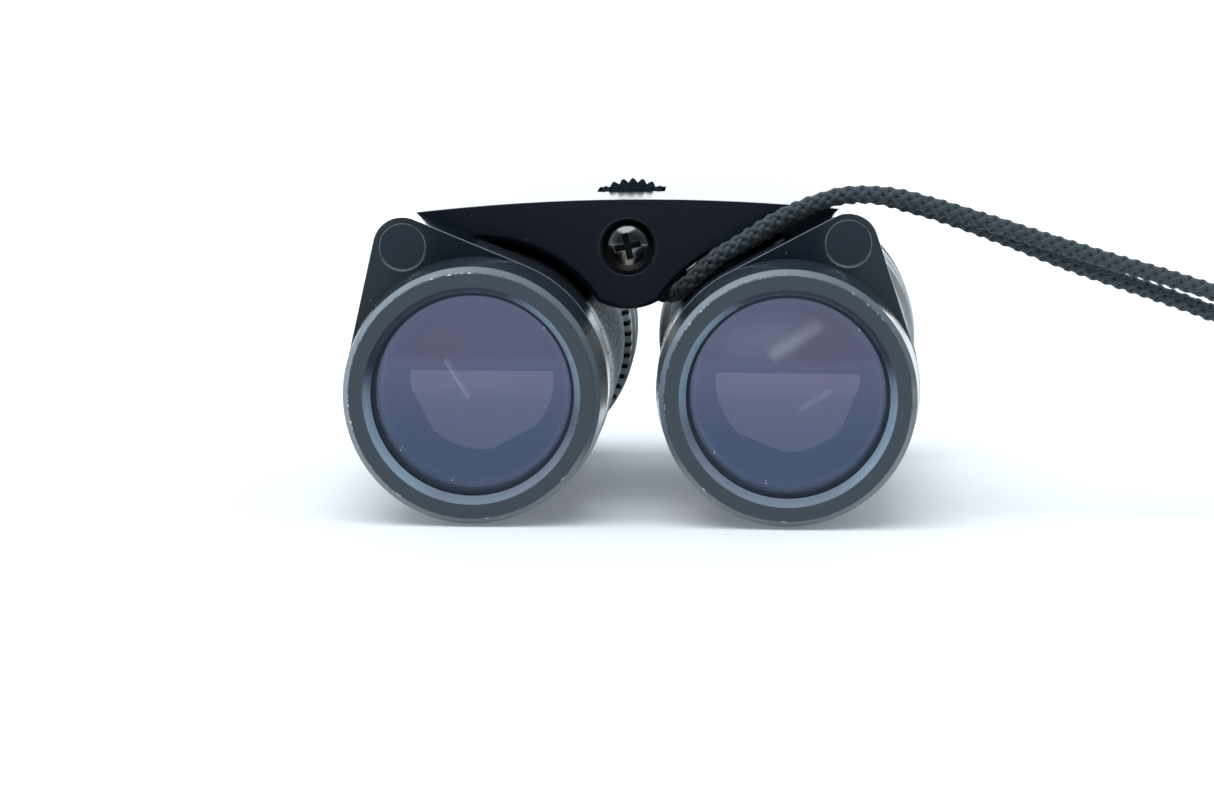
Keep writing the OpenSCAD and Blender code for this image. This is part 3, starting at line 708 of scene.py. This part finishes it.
@dataclass(frozen=True)
class Leatherette(Finish):
    """Pebbled black leatherette, pulled tight round a tube, with a painted sheen on its inner side and
    painted shade under the bridge.
    """

    colour: Colour = (0.011, 0.012, 0.014)
    worn: Colour = (0.05, 0.06, 0.07)
    fluff: Colour = (0.42, 0.42, 0.4)
    pebble: float = 0.6
    depth: float = 0.1
    lip_y: float = 0.0
    lip: Colour = (0.58, 0.62, 0.66)
    pale: Colour = (0.74, 0.82, 0.88)
    sheen: float = 0.3
    nap: float = 0.5

    def skin(self, s: Shader) -> Sock:
        """The pebbled skin with the metal lip at its front.

        Args:
            s: The material.

        Returns:
            The skin's shader.
        """
        pebbles = s.borders(s.ragged(s.at, 0.9, 2.0, 0.25), self.pebble).step(0.0, 0.3)
        fine, clumps = s.noise(0.12), s.noise(1.3).step(0.3, 0.7)
        lip = s.xyz[1].step(self.lip_y, self.lip_y - 0.12)
        base = s.layered(times(self.colour, 0.4), (pebbles, times(self.colour, 1.5)),
                         (s.specks(1.8, 0.1, 0.15) * 0.6, self.fluff),
                         (pebbles.step(0.35, 0.8) * clumps * 0.8, self.worn), (lip, self.lip))
        height = pebbles * 0.6 + clumps * 0.3 + fine * 0.1
        normal = s.bump(height * (1.0 - lip), self.depth)
        return s.surface(base, (1.0 - pebbles) * 0.3 + fine * 0.06 + 0.34, 0.4, normal,
                         Metallic=lip, Coat_Weight=pebbles.step(0.0, 0.6) * (clumps * 0.35 + 0.25),
                         Coat_Roughness=0.22, Coat_IOR=1.6, Coat_Normal=normal,
                         Sheen_Weight=self.sheen, Sheen_Roughness=self.nap, Sheen_Tint=COOL)

    def paint(self, s: Shader) -> Sock:
        """Adds the nodes of the skin, the painted sheen on its inner side and the painted shade of a
        strip under the bridge.

        Args:
            s: The material.

        Returns:
            Its shader.
        """
        # Painted sheen: the inner side, towards the other barrel, is painted pale in streaks.
        inner = Vector((math.copysign(1.0, -s.place.origin.x), 0.0, 0.1))
        flecks = s.noise(0.45, over=s.scaled(1.0, 0.12, 1.0)).step(0.36, 0.5)
        pale = s.surface(s.mix(flecks, self.colour, self.pale), 0.4, Sheen_Weight=1.0,
                         Sheen_Roughness=self.nap, Sheen_Tint=COOL)
        painted_sheen = s.sector(inner).step(0.6, 0.8) * (flecks * 0.5 + 0.5)
        # Painted shade: under the bridge the skin is swapped for a plain dark one without gloss or
        # sheen.
        painted_shade = s.surface(self.colour, 0.9, 0.0)
        return s.blend(s.sheltered(), s.blend(painted_sheen, self.skin(s), pale), painted_shade)


@dataclass(frozen=True)
class Turned(Finish):
    """Turned metal with fine tool marks round its axis."""

    colour: Colour = (0.5, 0.51, 0.53)
    rough: float = 0.26
    pitch: float = 0.12
    metal: float = 1.0

    def paint(self, s: Shader) -> Sock:
        """Adds the metal's nodes.

        Args:
            s: The material.

        Returns:
            Its shader.
        """
        marks = ((s.reach + s.xyz[1]) * (math.tau / self.pitch)).wave()
        stain = s.noise(1.6, 4.0)
        return s.surface(s.mix(stain, self.colour, times(self.colour, 0.7)), stain * 0.2 + self.rough,
                         normal=s.bump(marks, 0.003, s.rounded(0.08)), Metallic=self.metal,
                         Sheen_Weight=1.0 - self.metal)


@dataclass(frozen=True)
class GroovedRing(Finish):
    """Satin ring, its pale blue partly a painted reflection, with painted shade in its grip grooves."""

    # Pale blue satin, partly the ring's own colour and partly a painted reflection of the pale table.
    metal: Colour = (0.64, 0.72, 0.78)
    painted_groove_shade: Colour = (0.004, 0.012, 0.02)
    groove_r: float = 17.05

    def paint(self, s: Shader) -> Sock:
        """Adds the ring's nodes.

        Args:
            s: The material.

        Returns:
            Its shader.
        """
        x, _, z = s.xyz
        across, along, out = s.parts(s.turned_normal())
        outward = ((across * x + out * z) / s.reach).absolute()
        # Painted shade on the grooves' walls and floors.
        walls = outward.at_least(along.absolute()).step(0.6, 0.3)
        dark = walls.at_least(s.reach.step(self.groove_r + 0.12, self.groove_r + 0.04))
        stain = s.noise(1.6, 4.0)
        satin = s.surface(s.mix(stain, self.metal, times(self.metal, 0.75)), stain * 0.15 + 0.34,
                          normal=s.bump(stain, 0.006, s.rounded(0.08)), Metallic=0.4,
                          Sheen_Weight=1.0, Sheen_Tint=COOL)
        return s.blend(dark, satin, s.surface(self.painted_groove_shade, 0.8, 0.1))


@dataclass(frozen=True)
class BlackChrome(Finish):
    """Glossy black plating on a domed head, with painted brown reflections and painted shade in its
    recess.
    """

    colour: Colour = (0.14, 0.15, 0.165)
    painted_brown_reflection: Colour = (0.36, 0.27, 0.2)
    fluff: Colour = (0.6, 0.6, 0.58)
    painted_recess_shade: Colour = (0.004, 0.005, 0.006)
    ball_y: float = 0.0
    ball_r: float = 1.0

    def paint(self, s: Shader) -> Sock:
        """Adds the plating's nodes; what lies inside the head's ball is its recess.

        Args:
            s: The material.

        Returns:
            Its shader.
        """
        haze, dust = s.noise(1.2, 4.0), s.specks(1.0, 0.12, 0.2)
        x, y, z = s.xyz
        # Painted shade fills the recess; painted brown reflections lie in patches.
        painted_recess_shade = length(x, z, y - self.ball_y).step(self.ball_r - 0.06, self.ball_r - 0.2)
        base = s.layered(self.colour, (s.noise(2.4, 2.0).step(0.5, 0.75) * 0.6, self.painted_brown_reflection),
                         (dust * 0.8, self.fluff), (painted_recess_shade, self.painted_recess_shade))
        return s.surface(base, haze.step(0.35, 0.75) * 0.14 + 0.1 + dust * 0.4 + painted_recess_shade * 0.5, 0.2,
                         s.bump(haze, 0.004, s.rounded(0.12)), Metallic=(1.0 - dust) * (1.0 - painted_recess_shade))


@dataclass(frozen=True)
class Moulded(Finish):
    """Matte dark plastic or anodised metal inside the barrels, or rubber."""

    colour: Colour = (0.0022, 0.003, 0.005)
    rough: float = 0.6
    grain: float = 0.25
    depth: float = 0.006
    shine: float = 0.15
    fluff: Colour = (0.35, 0.35, 0.34)

    def paint(self, s: Shader) -> Sock:
        """Adds the plastic's nodes.

        Args:
            s: The material.

        Returns:
            Its shader.
        """
        cloud = s.noise(6.0)
        base = s.layered(times(self.colour, 0.8), (cloud, times(self.colour, 1.3)),
                         (s.specks(2.0, 0.1, 0.14) * 0.5, self.fluff))
        return s.surface(base, cloud * 0.1 + (self.rough - 0.05), self.shine,
                         s.bump(s.noise(self.grain), self.depth, s.rounded(0.2)))


@dataclass(frozen=True)
class Smear:
    """A wiped streak on a lens: its ends in millimetres, half its width, and its strength."""

    ends: tuple[float, float, float, float]
    half: float
    strength: float


@dataclass(frozen=True)
class CoatedLens(Finish):
    """Lens with an indigo coating, a painted glow that is lighter towards the top, a little haze,
    streaks and dust.
    """

    tint: Colour = (0.009, 0.013, 0.026)
    clear: Colour = (0.66, 0.66, 0.68)
    painted_glow_low: Colour = (0.20, 0.29, 0.49)
    painted_glow_high: Colour = (0.38, 0.42, 0.69)
    painted_glare: float = 0.15
    haze: Colour = (0.72, 0.76, 0.84)
    warm: Colour = (0.42, 0.34, 0.47)
    warm_at: tuple[float, float] = (-4.5, 5.0)
    warm_r: float = 5.0
    glass_r: float = 12.5
    dusty_r: tuple[float, float] = (10.9, 11.5)
    smears: tuple[Smear, ...] = ()

    def dirt(self, s: Shader, cloud: Sock) -> Sock:
        """A mask of dust, rim dirt and streaks.

        Args:
            s: The material.
            cloud: The noise that breaks up the rim's dirt.

        Returns:
            The mask.
        """
        rim_dust = s.specks(1.3, 0.14, 0.16, FLAT) * s.reach.step(*self.dusty_r)
        rim_dirt = s.reach.step(self.glass_r - 1.4, self.glass_r) * cloud.step(0.5, 0.8)
        lip = s.reach.band(self.glass_r - 0.55, 0.08, 0.2) * 0.5
        dirt = rim_dirt * 0.08 + (s.specks(2.6, 0.09, 0.1, FLAT) * 0.6).at_least(rim_dust) + lip * 0.06
        for smear in self.smears:
            dirt = dirt + s.from_line(smear.ends).step(smear.half, 0.0) * smear.strength
        return dirt.at_most(1.0)

    def paint(self, s: Shader) -> Sock:
        """Adds the lens's nodes: a shine, clear glass, and a painted glow.

        Args:
            s: The material.

        Returns:
            Its shader.
        """
        cloud = s.noise(4.5)
        # Painted glow: its colour grows lighter towards the top and has a warm patch.
        height = s.xyz[2] + (cloud - 0.5) * 4.0
        warmth = s.from_spot(self.warm_at).step(self.warm_r, self.warm_r * 0.3)
        colour = s.layered(self.painted_glow_low, (height.step(-9.0, 8.0), self.painted_glow_high),
                           (warmth * cloud * 0.7, self.warm))
        coating_and_painted_glow = s.node("BsdfGlossy", {}, self.tint, 0.04)
        for kind, inputs in (("BsdfTransparent", (self.clear,)), ("Emission", (colour, self.painted_glare))):
            coating_and_painted_glow = s.node("AddShader", {}, coating_and_painted_glow, s.node(kind, {}, *inputs))
        return s.blend(self.dirt(s, cloud), coating_and_painted_glow, s.surface(self.haze, 0.6, 0.2))


@dataclass(frozen=True)
class PrismGlass(Finish):
    """Prism face behind the objective, with painted light and a painted glow in its lower half."""

    upper: Colour = (0.05, 0.025, 0.05)
    painted_lit_lower: Colour = (0.28, 0.24, 0.27)
    painted_glow: Colour = (0.086, 0.076, 0.078)
    blush: Colour = (0.16, 0.07, 0.10)
    blush_at: tuple[float, float] = (-4.8, 4.2)
    edge_z: float = 0.9

    def paint(self, s: Shader) -> Sock:
        """Adds the prism's nodes.

        Args:
            s: The material.

        Returns:
            Its shader.
        """
        z, cloud = s.xyz[2], s.noise(5.0, 2.0)
        low = z.step(self.edge_z + 0.06, self.edge_z - 0.06)
        bright = z.step(self.edge_z - 2.4, self.edge_z - 3.6)
        red = s.from_spot(self.blush_at).step(4.0, 1.0) * cloud.step(0.2, 0.5)
        base = s.layered(self.upper, (cloud, times(self.upper, 1.6)), (red, self.blush),
                         (low, s.mix(cloud * bright, self.painted_lit_lower, times(self.painted_lit_lower, 0.8))))
        # Painted glow: the lower half gives off a faint light of its own.
        lit = s.mix(low * (1.0 - bright * 0.28), (0.0, 0.0, 0.0), self.painted_glow)
        return s.surface(base, 0.5, 0.0, Emission_Color=lit, Emission_Strength=1.0)


@dataclass(frozen=True)
class BraidYarn(Finish):
    """Dark grey-green polyester yarn with fine filaments, and painted shade where the cord comes out.
    """

    colour: Colour = (0.030, 0.043, 0.054)
    lay: tuple[float, float] = (2.6, 7.0)
    shaded: tuple[float, float] = (0.017, 0.009)
    exit: Vector = field(default_factory=lambda: Vector((6.0, -20.0, 28.0)) * MM)
    clump: float = 1.0 / 900.0
    filament: float = 1.0 / 9000.0

    def paint(self, s: Shader) -> Sock:
        """Adds the yarn's nodes, on the braid's own UV map.

        Args:
            s: The material.

        Returns:
            Its shader.
        """
        u, v, _ = s.parts(s.node("UVMap", {"uv_map": YARN_UV}))
        twist = ((u * self.lay[0] + v * self.lay[1]) * math.tau).wave()
        away = s.node("VectorMath", {"operation": "DISTANCE"}, s.row, tuple(self.exit), out="Value")
        base = s.layered(times(self.colour, 0.75),
                         (s.noise(self.clump, over=s.row), times(self.colour, 1.35)),
                         (twist * 0.35, times(self.colour, 1.7)),
                         # Painted shade near where the cord comes out from behind the plate.
                         (away.step(*self.shaded), times(self.colour, 0.12)))
        height = twist * 0.6 + s.noise(self.filament, 2.0, over=s.row) * 0.4
        return s.surface(base, 0.62 - twist * 0.08, 0.4, s.bump(height, 0.03), Sheen_Weight=0.25,
                         Sheen_Roughness=0.4)


# Wrist cord.


@dataclass
class WristCord:
    """Braided wrist cord, hitched to the strap bar and looped over the right hinge.

    Its sizes are in metres and its route is in millimetres.
    """

    diameter: float = 2.4 * MM
    length: float = 0.333
    lay_pitch: float = 7.0 * MM
    strands_each_way: int = 4
    strand_radius: float = 0.42 * MM
    weave_radius: float = 0.66 * MM
    weave_depth: float = 0.14 * MM
    step: float = 0.25 * MM
    path_every: int = 8
    route: Sequence[tuple[float, float, float]] = (
        (4.4, -20.2, 28), (5.1, -23.4, 28.4), (5.6, -26, 28.7), (6.1, -28.8, 29.3),
        (7.1, -31.2, 30.2), (10.2, -31.9, 33.2), (14.4, -31.8, 36), (20, -31.7, 39.4),
        (26, -31.7, 41.6), (30, -31.7, 42), (34, -31.7, 41.7), (38.5, -31.7, 40.6),
        (46, -31.6, 38.4), (54, -31.5, 35.9), (62, -31.5, 33.5), (70, -31.5, 31.2),
        (78, -31.8, 28.6), (87, -32.5, 24.7), (95, -33.3, 19.8), (102, -34.2, 14),
        (109, -35.2, 7.6), (116, -36.2, 3), (125, -37, 1.3), (134, -37, 1.2),
        (142, -34.5, 1.2), (146, -28.5, 1.2), (143.5, -22, 1.2), (136, -18.6, 1.2),
        (127, -18.4, 1.3), (118, -19.6, 3), (110, -21.3, 7.5), (102, -23.2, 13),
        (93, -25.3, 18.4), (83.5, -27.3, 23.3), (74, -28.8, 27.2), (65, -28.9, 30.3),
        (56.5, -29, 33.2), (48.5, -29.1, 36.3), (41, -29.1, 39), (36, -29.1, 40.5),
        (31, -29.1, 41.7), (26, -29.2, 41.4), (20.5, -29.3, 39.1), (15, -29.3, 35.8),
        (11, -29.4, 33.8), (9.5, -29.2, 32.5), (8.3, -28.3, 31.4), (7.5, -26.1, 30.7),
        (6.8, -23.7, 30.1), (5.8, -20.8, 29.5))

    def line(self) -> list[Vector]:
        """The middle of the cord, as a smooth curve through its route.

        Returns:
            Points about a step apart.
        """
        points = [Vector(p) * MM for p in self.route]
        fine: list[Vector] = []
        for i in range(len(points) - 1):
            a, b, c, d = (points[min(max(k, 0), len(points) - 1)] for k in range(i - 1, i + 3))
            count = max(2, round((c - b).length / (self.step / 2)))
            for k in range(count):
                t = k / count
                fine.append(0.5 * (2 * b + (c - a) * t + (2 * a - 5 * b + 4 * c - d) * t * t
                                   + (3 * b - a - 3 * c + d) * t ** 3))
        fine.append(points[-1])
        return self.spaced(fine)

    def spaced(self, fine: Sequence[Vector]) -> list[Vector]:
        """The same line with its points a step apart.

        Args:
            fine: The line, with its points closer than a step.

        Returns:
            The new points.
        """
        out, left = [fine[0]], self.step
        for a, b in zip(fine, fine[1:]):
            span = (b - a).length
            while span >= left > 0:
                a = a.lerp(b, left / span)
                out.append(a.copy())
                span, left = (b - a).length, self.step
            left -= span
        return out

    @staticmethod
    def frames(line: Sequence[Vector], closed: bool) -> list[tuple[Vector, Vector]]:
        """Two directions square to the line at each point, carried along without twist.

        Args:
            line: The line's points.
            closed: Whether the line's end meets its start.

        Returns:
            A pair of directions for each point.
        """
        count, pairs, side = len(line), [], None
        for i in range(count):
            before = line[i - 1] if i or closed else line[0]
            after = line[(i + 1) % count] if i < count - 1 or closed else line[-1]
            along = (after - before).normalized()
            if side is None:
                side = along.cross(UP).normalized()
            side = (side - along * side.dot(along)).normalized()
            pairs.append((side, along.cross(side)))
        return pairs

    def braid(self, name: str, line: Sequence[Vector], pitch: float,
              closed: bool = False) -> Piece:
        """Plaits strands round a line.

        Args:
            name: The piece's name.
            line: The middle of the cord.
            pitch: The length in which a strand goes once round.
            closed: Whether the line's end meets its start.

        Returns:
            The mesh object.
        """
        pairs = self.frames(line, closed)
        curve = bpy.data.curves.new(name + "_strands", "CURVE")
        curve.dimensions = "3D"
        curve.bevel_depth = self.strand_radius
        curve.bevel_resolution = 1
        curve.use_fill_caps = not closed
        for way in (1, -1):
            for strand in range(self.strands_each_way):
                spline = curve.splines.new("POLY")
                spline.points.add(len(line) - 1)
                spline.use_cyclic_u = closed
                for i, (at, (side, over)) in enumerate(zip(line, pairs)):
                    turn = math.tau * (i * self.step / pitch)
                    angle = way * turn + math.tau * strand / self.strands_each_way
                    weave = way * self.weave_depth * math.cos(self.strands_each_way * turn)
                    reach = self.weave_radius + weave
                    spot = at + reach * (math.cos(angle) * side + math.sin(angle) * over)
                    spline.points[i].co = (*spot, 1.0)
        source = placed(name + "_source", curve)
        graph = bpy.context.evaluated_depsgraph_get()
        mesh = bpy.data.meshes.new_from_object(source.evaluated_get(graph))
        bpy.data.objects.remove(source)
        mesh.name = name
        mesh.shade_smooth()
        name_uv(mesh)
        return placed(name, mesh)

    def hitch(self) -> Piece:
        """The two turns of cord round the strap bar.

        Returns:
            The mesh object.
        """
        low, high = (Vector(p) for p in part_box("cord_hitch"))
        major = (high.x - low.x) / 2 - self.diameter / 2
        place = Place((low + high) / 2, Vector(joint("focus_turn")["axis"])).matrix()
        count = round(math.tau * major / self.step)
        meshes = []
        for turn in (-1, 1):
            line = [place @ Vector((major * math.cos(math.tau * k / count),
                                    turn * self.diameter / 2,
                                    major * math.sin(math.tau * k / count)))
                    for k in range(count)]
            meshes.append(self.braid(f"cord_turn_{turn}", line, count * self.step / 2, closed=True))
        return joined(meshes, "cord_hitch_braid")

    def build(self, yarn: Material) -> None:
        """Args:
            yarn: The cord's material.
        """
        line = self.line()
        cord = self.braid("wrist_cord_braid", line, self.lay_pitch)
        hitch = self.hitch()
        for piece, node in ((cord, "wrist_cord"), (hitch, "cord_hitch")):
            piece.data.materials.clear()
            piece.data.materials.append(yarn)
            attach(piece, "bridge")
            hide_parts(node)
        LOG.info("wrist cord: %d points, %d faces", len(line), len(cord.data.polygons))


def name_uv(mesh: bpy.types.Mesh) -> None:
    """Names a braid's UV map as the yarn's finish looks for it."""
    if mesh.uv_layers:
        mesh.uv_layers[0].name = YARN_UV


def joined(pieces: Iterable[Piece], name: str) -> Piece:
    """Joins braids into one.

    Args:
        pieces: The braids; they are removed.
        name: The new piece's name.

    Returns:
        The joined piece.
    """
    made = bmesh.new()
    for piece in pieces:
        made.from_mesh(piece.data)
        bpy.data.objects.remove(piece)
    mesh = bpy.data.meshes.new(name)
    made.to_mesh(mesh)
    made.free()
    name_uv(mesh)
    return placed(name, mesh)


# Assemblies.


def dress(finish: Finish, label: str, place: Place, *nodes: str) -> None:
    """Makes a finish and gives it to CAD nodes.

    Args:
        finish: The finish.
        label: The name of its material.
        place: The frame that its pattern lies in.
        nodes: The names of the nodes; all of their faces get the material.
    """
    material = finish.make(label, place)
    for node in nodes:
        slots = frame["nodes"][node].data.materials
        if not slots:
            slots.append(material)
        for index in range(len(slots)):
            slots[index] = material


@dataclass
class Bridge:
    """Bridge with its front plate, screw, cover, hinge pins and strap bar."""

    # The bridge's edge line is a painted highlight along the lower right edges of its plate.
    enamel: Enamel = Enamel(line=0.12, painted_highlight_wide=0.5, painted_highlight_side=(0.7, 0.0, -0.7), dust=0.22)
    place: Place = field(default_factory=spindle_place)
    dome_rise: float = 1.1

    def plating(self) -> BlackChrome:
        """The screw's plating, fitted to the dome of its head.

        Returns:
            The finish.
        """
        low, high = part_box("bridge_screw")
        radius = (high[0] - low[0]) / 2 / MM
        ball = (radius ** 2 + self.dome_rise ** 2) / (2 * self.dome_rise)
        return BlackChrome(ball_y=(low[1] - self.place.origin.y) / MM + ball, ball_r=ball)

    def dress(self) -> None:
        """Gives each of the bridge's pieces its finish."""
        dress(self.enamel, "bridge_enamel", self.place, "bridge_body", "bridge_front_plate",
              "bridge_bottom_cover")
        dress(self.plating(), "screw_plating", self.place, "bridge_screw")
        dress(Turned(), "bridge_steel", self.place, "cover_screws", "strap_bar")
        for side in Side:
            dress(Turned(), f"{side.value}_pin_steel", hinge_place(side), f"{side.value}_hinge_pin")
        LOG.info("bridge dressed")


@dataclass
class FocusTrain:
    """Focus wheel, spindle, carriage and rods."""

    wheel: Enamel = Enamel(colour=(0.013, 0.021, 0.030), edge=(0.02, 0.03, 0.04), gloss=0.75,
                           shine=0.0, dust=0.1, flank=0.0, soft_edge=0.1)
    brass: Turned = Turned((0.56, 0.4, 0.16), 0.3, 0.2)
    place: Place = field(default_factory=spindle_place)

    def dress(self) -> None:
        """Gives the wheel, the brass and the rods their finishes."""
        dress(self.wheel, "wheel_enamel", self.place, "focus_wheel")
        dress(self.brass, "focus_brass", self.place, "focus_spindle", "focus_carriage")
        for side in Side:
            dress(Turned(rough=0.2), f"{side.value}_rod_steel", hinge_place(side),
                  f"{side.value}_focus_rod")
        LOG.info("focus train dressed")


LENSES = {
    Side.LEFT: CoatedLens(smears=(Smear((-3.5, 4.0, -0.6, -0.6), 0.3, 0.14),)),
    Side.RIGHT: CoatedLens(warm_at=(4.5, 6.5), warm_r=8.0,
                           smears=(Smear((-1.6, 5.4, 3.4, 8.8), 1.5, 0.12),
                                   Smear((-7.0, 7.0, -1.0, 7.6), 4.5, 0.05),
                                   Smear((1.7, -1.6, 5.4, 0.6), 0.5, 0.07))),
}
PRISMS = {Side.LEFT: PrismGlass(), Side.RIGHT: PrismGlass(blush_at=(4.6, 8.6))}


@dataclass
class Barrel:
    """One barrel with its covering, bezel, optics and eyepiece."""

    side: Side
    hub_r: float = 18.2
    lip_wide: float = 0.7

    def dress(self) -> None:
        """Gives each of the barrel's pieces its finish."""
        name, place = self.side.value, barrel_place(self.side)
        upright = Place(place.origin, place.along)
        outer = max(abs(v.x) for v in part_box(f"{name}_hinge_cap")) / MM
        # The barrel's edge line is a painted highlight, and the paler side towards the outer X is
        # painted glare.
        enamel = Enamel(line=1.0, painted_glare_x=math.copysign(outer, place.origin.x), polish=0.7,
                        flank_rough=0.12, flank=0.6, hub_r=self.hub_r)
        start = (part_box(f"{name}_covering")[0][1] - place.origin.y) / MM
        LOG.info("%s covering starts %.2f mm behind the bezel's face", name, start)
        for label, finish, at, *parts in (
            ("enamel", enamel, place, "barrel"),
            ("anodised", Moulded((0.012, 0.0125, 0.014), rough=0.5, shine=0.4), place, "eyepiece_cell"),
            ("coating", LENSES[self.side], upright, "objective_lens", "field_lens", "eye_lens"),
            ("seat", Moulded((0.03, 0.042, 0.062)), place, "lens_ring"),
            ("cap", HingeCap(), hinge_place(self.side), "hinge_cap"),
            ("rim", TurnedRim(), place, "bezel"),
            ("leatherette", Leatherette(lip_y=start + self.lip_wide), place, "covering"),
            ("carrier_black", Moulded(rough=0.7, shine=0.05), place, "prism_carrier"),
            ("prism_glass", PRISMS[self.side], upright, "prism"),
            ("cell_black", Moulded(), place, "objective_cell"),
            # The rear rim's pale blue is partly a painted reflection of the pale table.
            ("rear_satin", Turned((0.62, 0.71, 0.78), 0.36, 0.2, 0.4), place, "rear_rim"),
            ("rubber", Moulded((0.010, 0.010, 0.011), grain=0.3, depth=0.012, shine=0.35), place,
             "eyecup"),
        ):
            dress(finish, f"{name}_{label}", at, *(f"{name}_{part}" for part in parts))
        if self.side is Side.LEFT:
            dress(GroovedRing(), "dioptre_satin", place, "dioptre_ring")
        else:
            dress(Turned(rough=0.4), "right_ring_satin", place, "right_rear_ring")
        LOG.info("%s barrel dressed", name)


# Studio.


@dataclass
class Studio:
    """Pale table, soft lamps and the camera in front of the objectives.

    Angles are in degrees. The room's light is dimmed where gloss sees it in front
    and on the right, and the table shines a little by itself to what looks at it.
    """

    eye: Vector = field(default_factory=lambda: Vector((17.997, -620.971, 71.041)) * MM)
    down: float = 5.4915
    roll: float = 0.333
    turn: float = 2.0816
    lens: float = 134.82
    sensor: float = 36.0
    sight: tuple[float, float] = (0.01, 60.0)
    fill: float = 0.56
    front_shade: float = 0.12
    right_shade: float = 0.45
    air: Colour = (0.85, 0.94, 1.0)
    key_from: Vector = field(default_factory=lambda: Vector((-0.1, -0.55, 1.0)))
    key_level: float = 1.84
    key_spread: float = 55.0
    rear_at: Vector = field(default_factory=lambda: Vector((0.1, 1.5, 0.2)))
    rear_size: tuple[float, float] = (2.0, 0.16)
    rear_power: float = 3.7
    aim_z: float = 0.02
    table_half: float = 20.0
    table_cloud: float = 0.3
    table_near: tuple[Colour, Colour] = ((0.90, 0.93, 0.95), (0.92, 0.95, 0.97))
    table_far: Colour = (0.97, 0.98, 0.98)
    table_fade: tuple[float, float] = (0.5, 1.1)
    table_glow: Colour = (0.84, 0.93, 1.0)
    glow_level: float = 0.18

    def camera(self) -> None:
        """Sets up the camera."""
        data = bpy.data.cameras.new("camera")
        data.lens, data.sensor_width, data.sensor_fit = self.lens, self.sensor, "HORIZONTAL"
        data.clip_start, data.clip_end = self.sight
        camera = placed("camera", data)
        turns = [Matrix.Rotation(math.radians(angle), 4, axis)
                 for angle, axis in ((self.turn, "Z"), (90 - self.down, "X"), (self.roll, "Z"))]
        camera.matrix_world = Matrix.Translation(self.eye) @ turns[0] @ turns[1] @ turns[2]
        bpy.context.scene.camera = camera

    def floor(self) -> None:
        """Lays the pale table."""
        made = bmesh.new()
        bmesh.ops.create_grid(made, x_segments=1, y_segments=1, size=self.table_half)
        mesh = bpy.data.meshes.new("table")
        made.to_mesh(mesh)
        made.free()
        table = placed("table", mesh)
        s = Shader("table_white")
        x, y, _ = s.parts(s.row)
        base = s.mix(s.noise(self.table_cloud, 2.0, over=s.row), *self.table_near)
        base = s.mix(length(x, y).step(*self.table_fade), base, self.table_far)
        white = s.surface(base, 0.7, 0.1)
        camera, glossy, through = self.rays(s)
        painted_glow = s.node("Emission", {}, self.table_glow,
                      camera.at_least(glossy).at_least(through) * self.glow_level)
        mesh.materials.append(s.done(s.node("AddShader", {}, white, painted_glow)))
        table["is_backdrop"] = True

    @staticmethod
    def rays(s: Shader) -> list[Sock]:
        """Masks of the camera, glossy and transmission rays."""
        outputs = s.node("LightPath", {}).socket.node.outputs
        return [Sock(s, outputs[f"Is {kind} Ray"]) for kind in ("Camera", "Glossy", "Transmission")]

    def world(self) -> None:
        """Lights the room evenly, shows it white, and shades what gloss sees in front."""
        world = bpy.data.worlds.new("room")
        bpy.context.scene.world = world
        world.use_nodes = True
        s = Shader(world)
        right, towards, _ = s.parts(s.node("TexCoord", {}, out="Generated"))
        front = towards.step(-0.35, -0.9) * (self.front_shade - 1.0) + 1.0
        side = right.step(0.25, 0.8) * (self.right_shade - 1.0) + 1.0
        camera, glossy, through = self.rays(s)
        level = glossy * (front * side - self.fill) + self.fill
        room = s.node("Background", {}, self.air, level)
        white = s.node("Background", {}, (1.0, 1.0, 1.0), 1.0)
        s.done(s.blend(camera.at_least(through), room, white))

    def light(self) -> None:
        """Hangs the soft key high in front, and a wide lamp low behind."""
        low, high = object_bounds()
        aim = Vector(((low[0] + high[0]) / 2, (low[1] + high[1]) / 2, self.aim_z))
        key = bpy.data.lights.new("key_lamp", "SUN")
        key.angle, key.energy = math.radians(self.key_spread), self.key_level
        rear = bpy.data.lights.new("rear_lamp", "AREA")
        rear.shape, rear.energy = "RECTANGLE", self.rear_power
        rear.size, rear.size_y = self.rear_size
        for data, spot in ((key, self.key_from), (rear, self.rear_at)):
            lamp = placed(data.name, data)
            lamp.location = spot
            lamp.rotation_euler = (aim - spot).to_track_quat("-Z", "Y").to_euler()

    def colours(self) -> None:
        """Sets the plain view transform."""
        bpy.context.scene.view_settings.view_transform = "Standard"


def main() -> None:
    """Builds the studio, the cord and the finishes."""
    logging.basicConfig(level=logging.INFO, format="%(name)s: %(message)s")
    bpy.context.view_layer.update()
    studio = Studio()
    studio.camera()
    WristCord().build(BraidYarn().make("braid_yarn"))
    Bridge().dress()
    FocusTrain().dress()
    for side in Side:
        Barrel(side).dress()
    studio.floor()
    studio.world()
    studio.light()
    studio.colours()
    LOG.info("done")


if __name__ == "__main__":
    main()
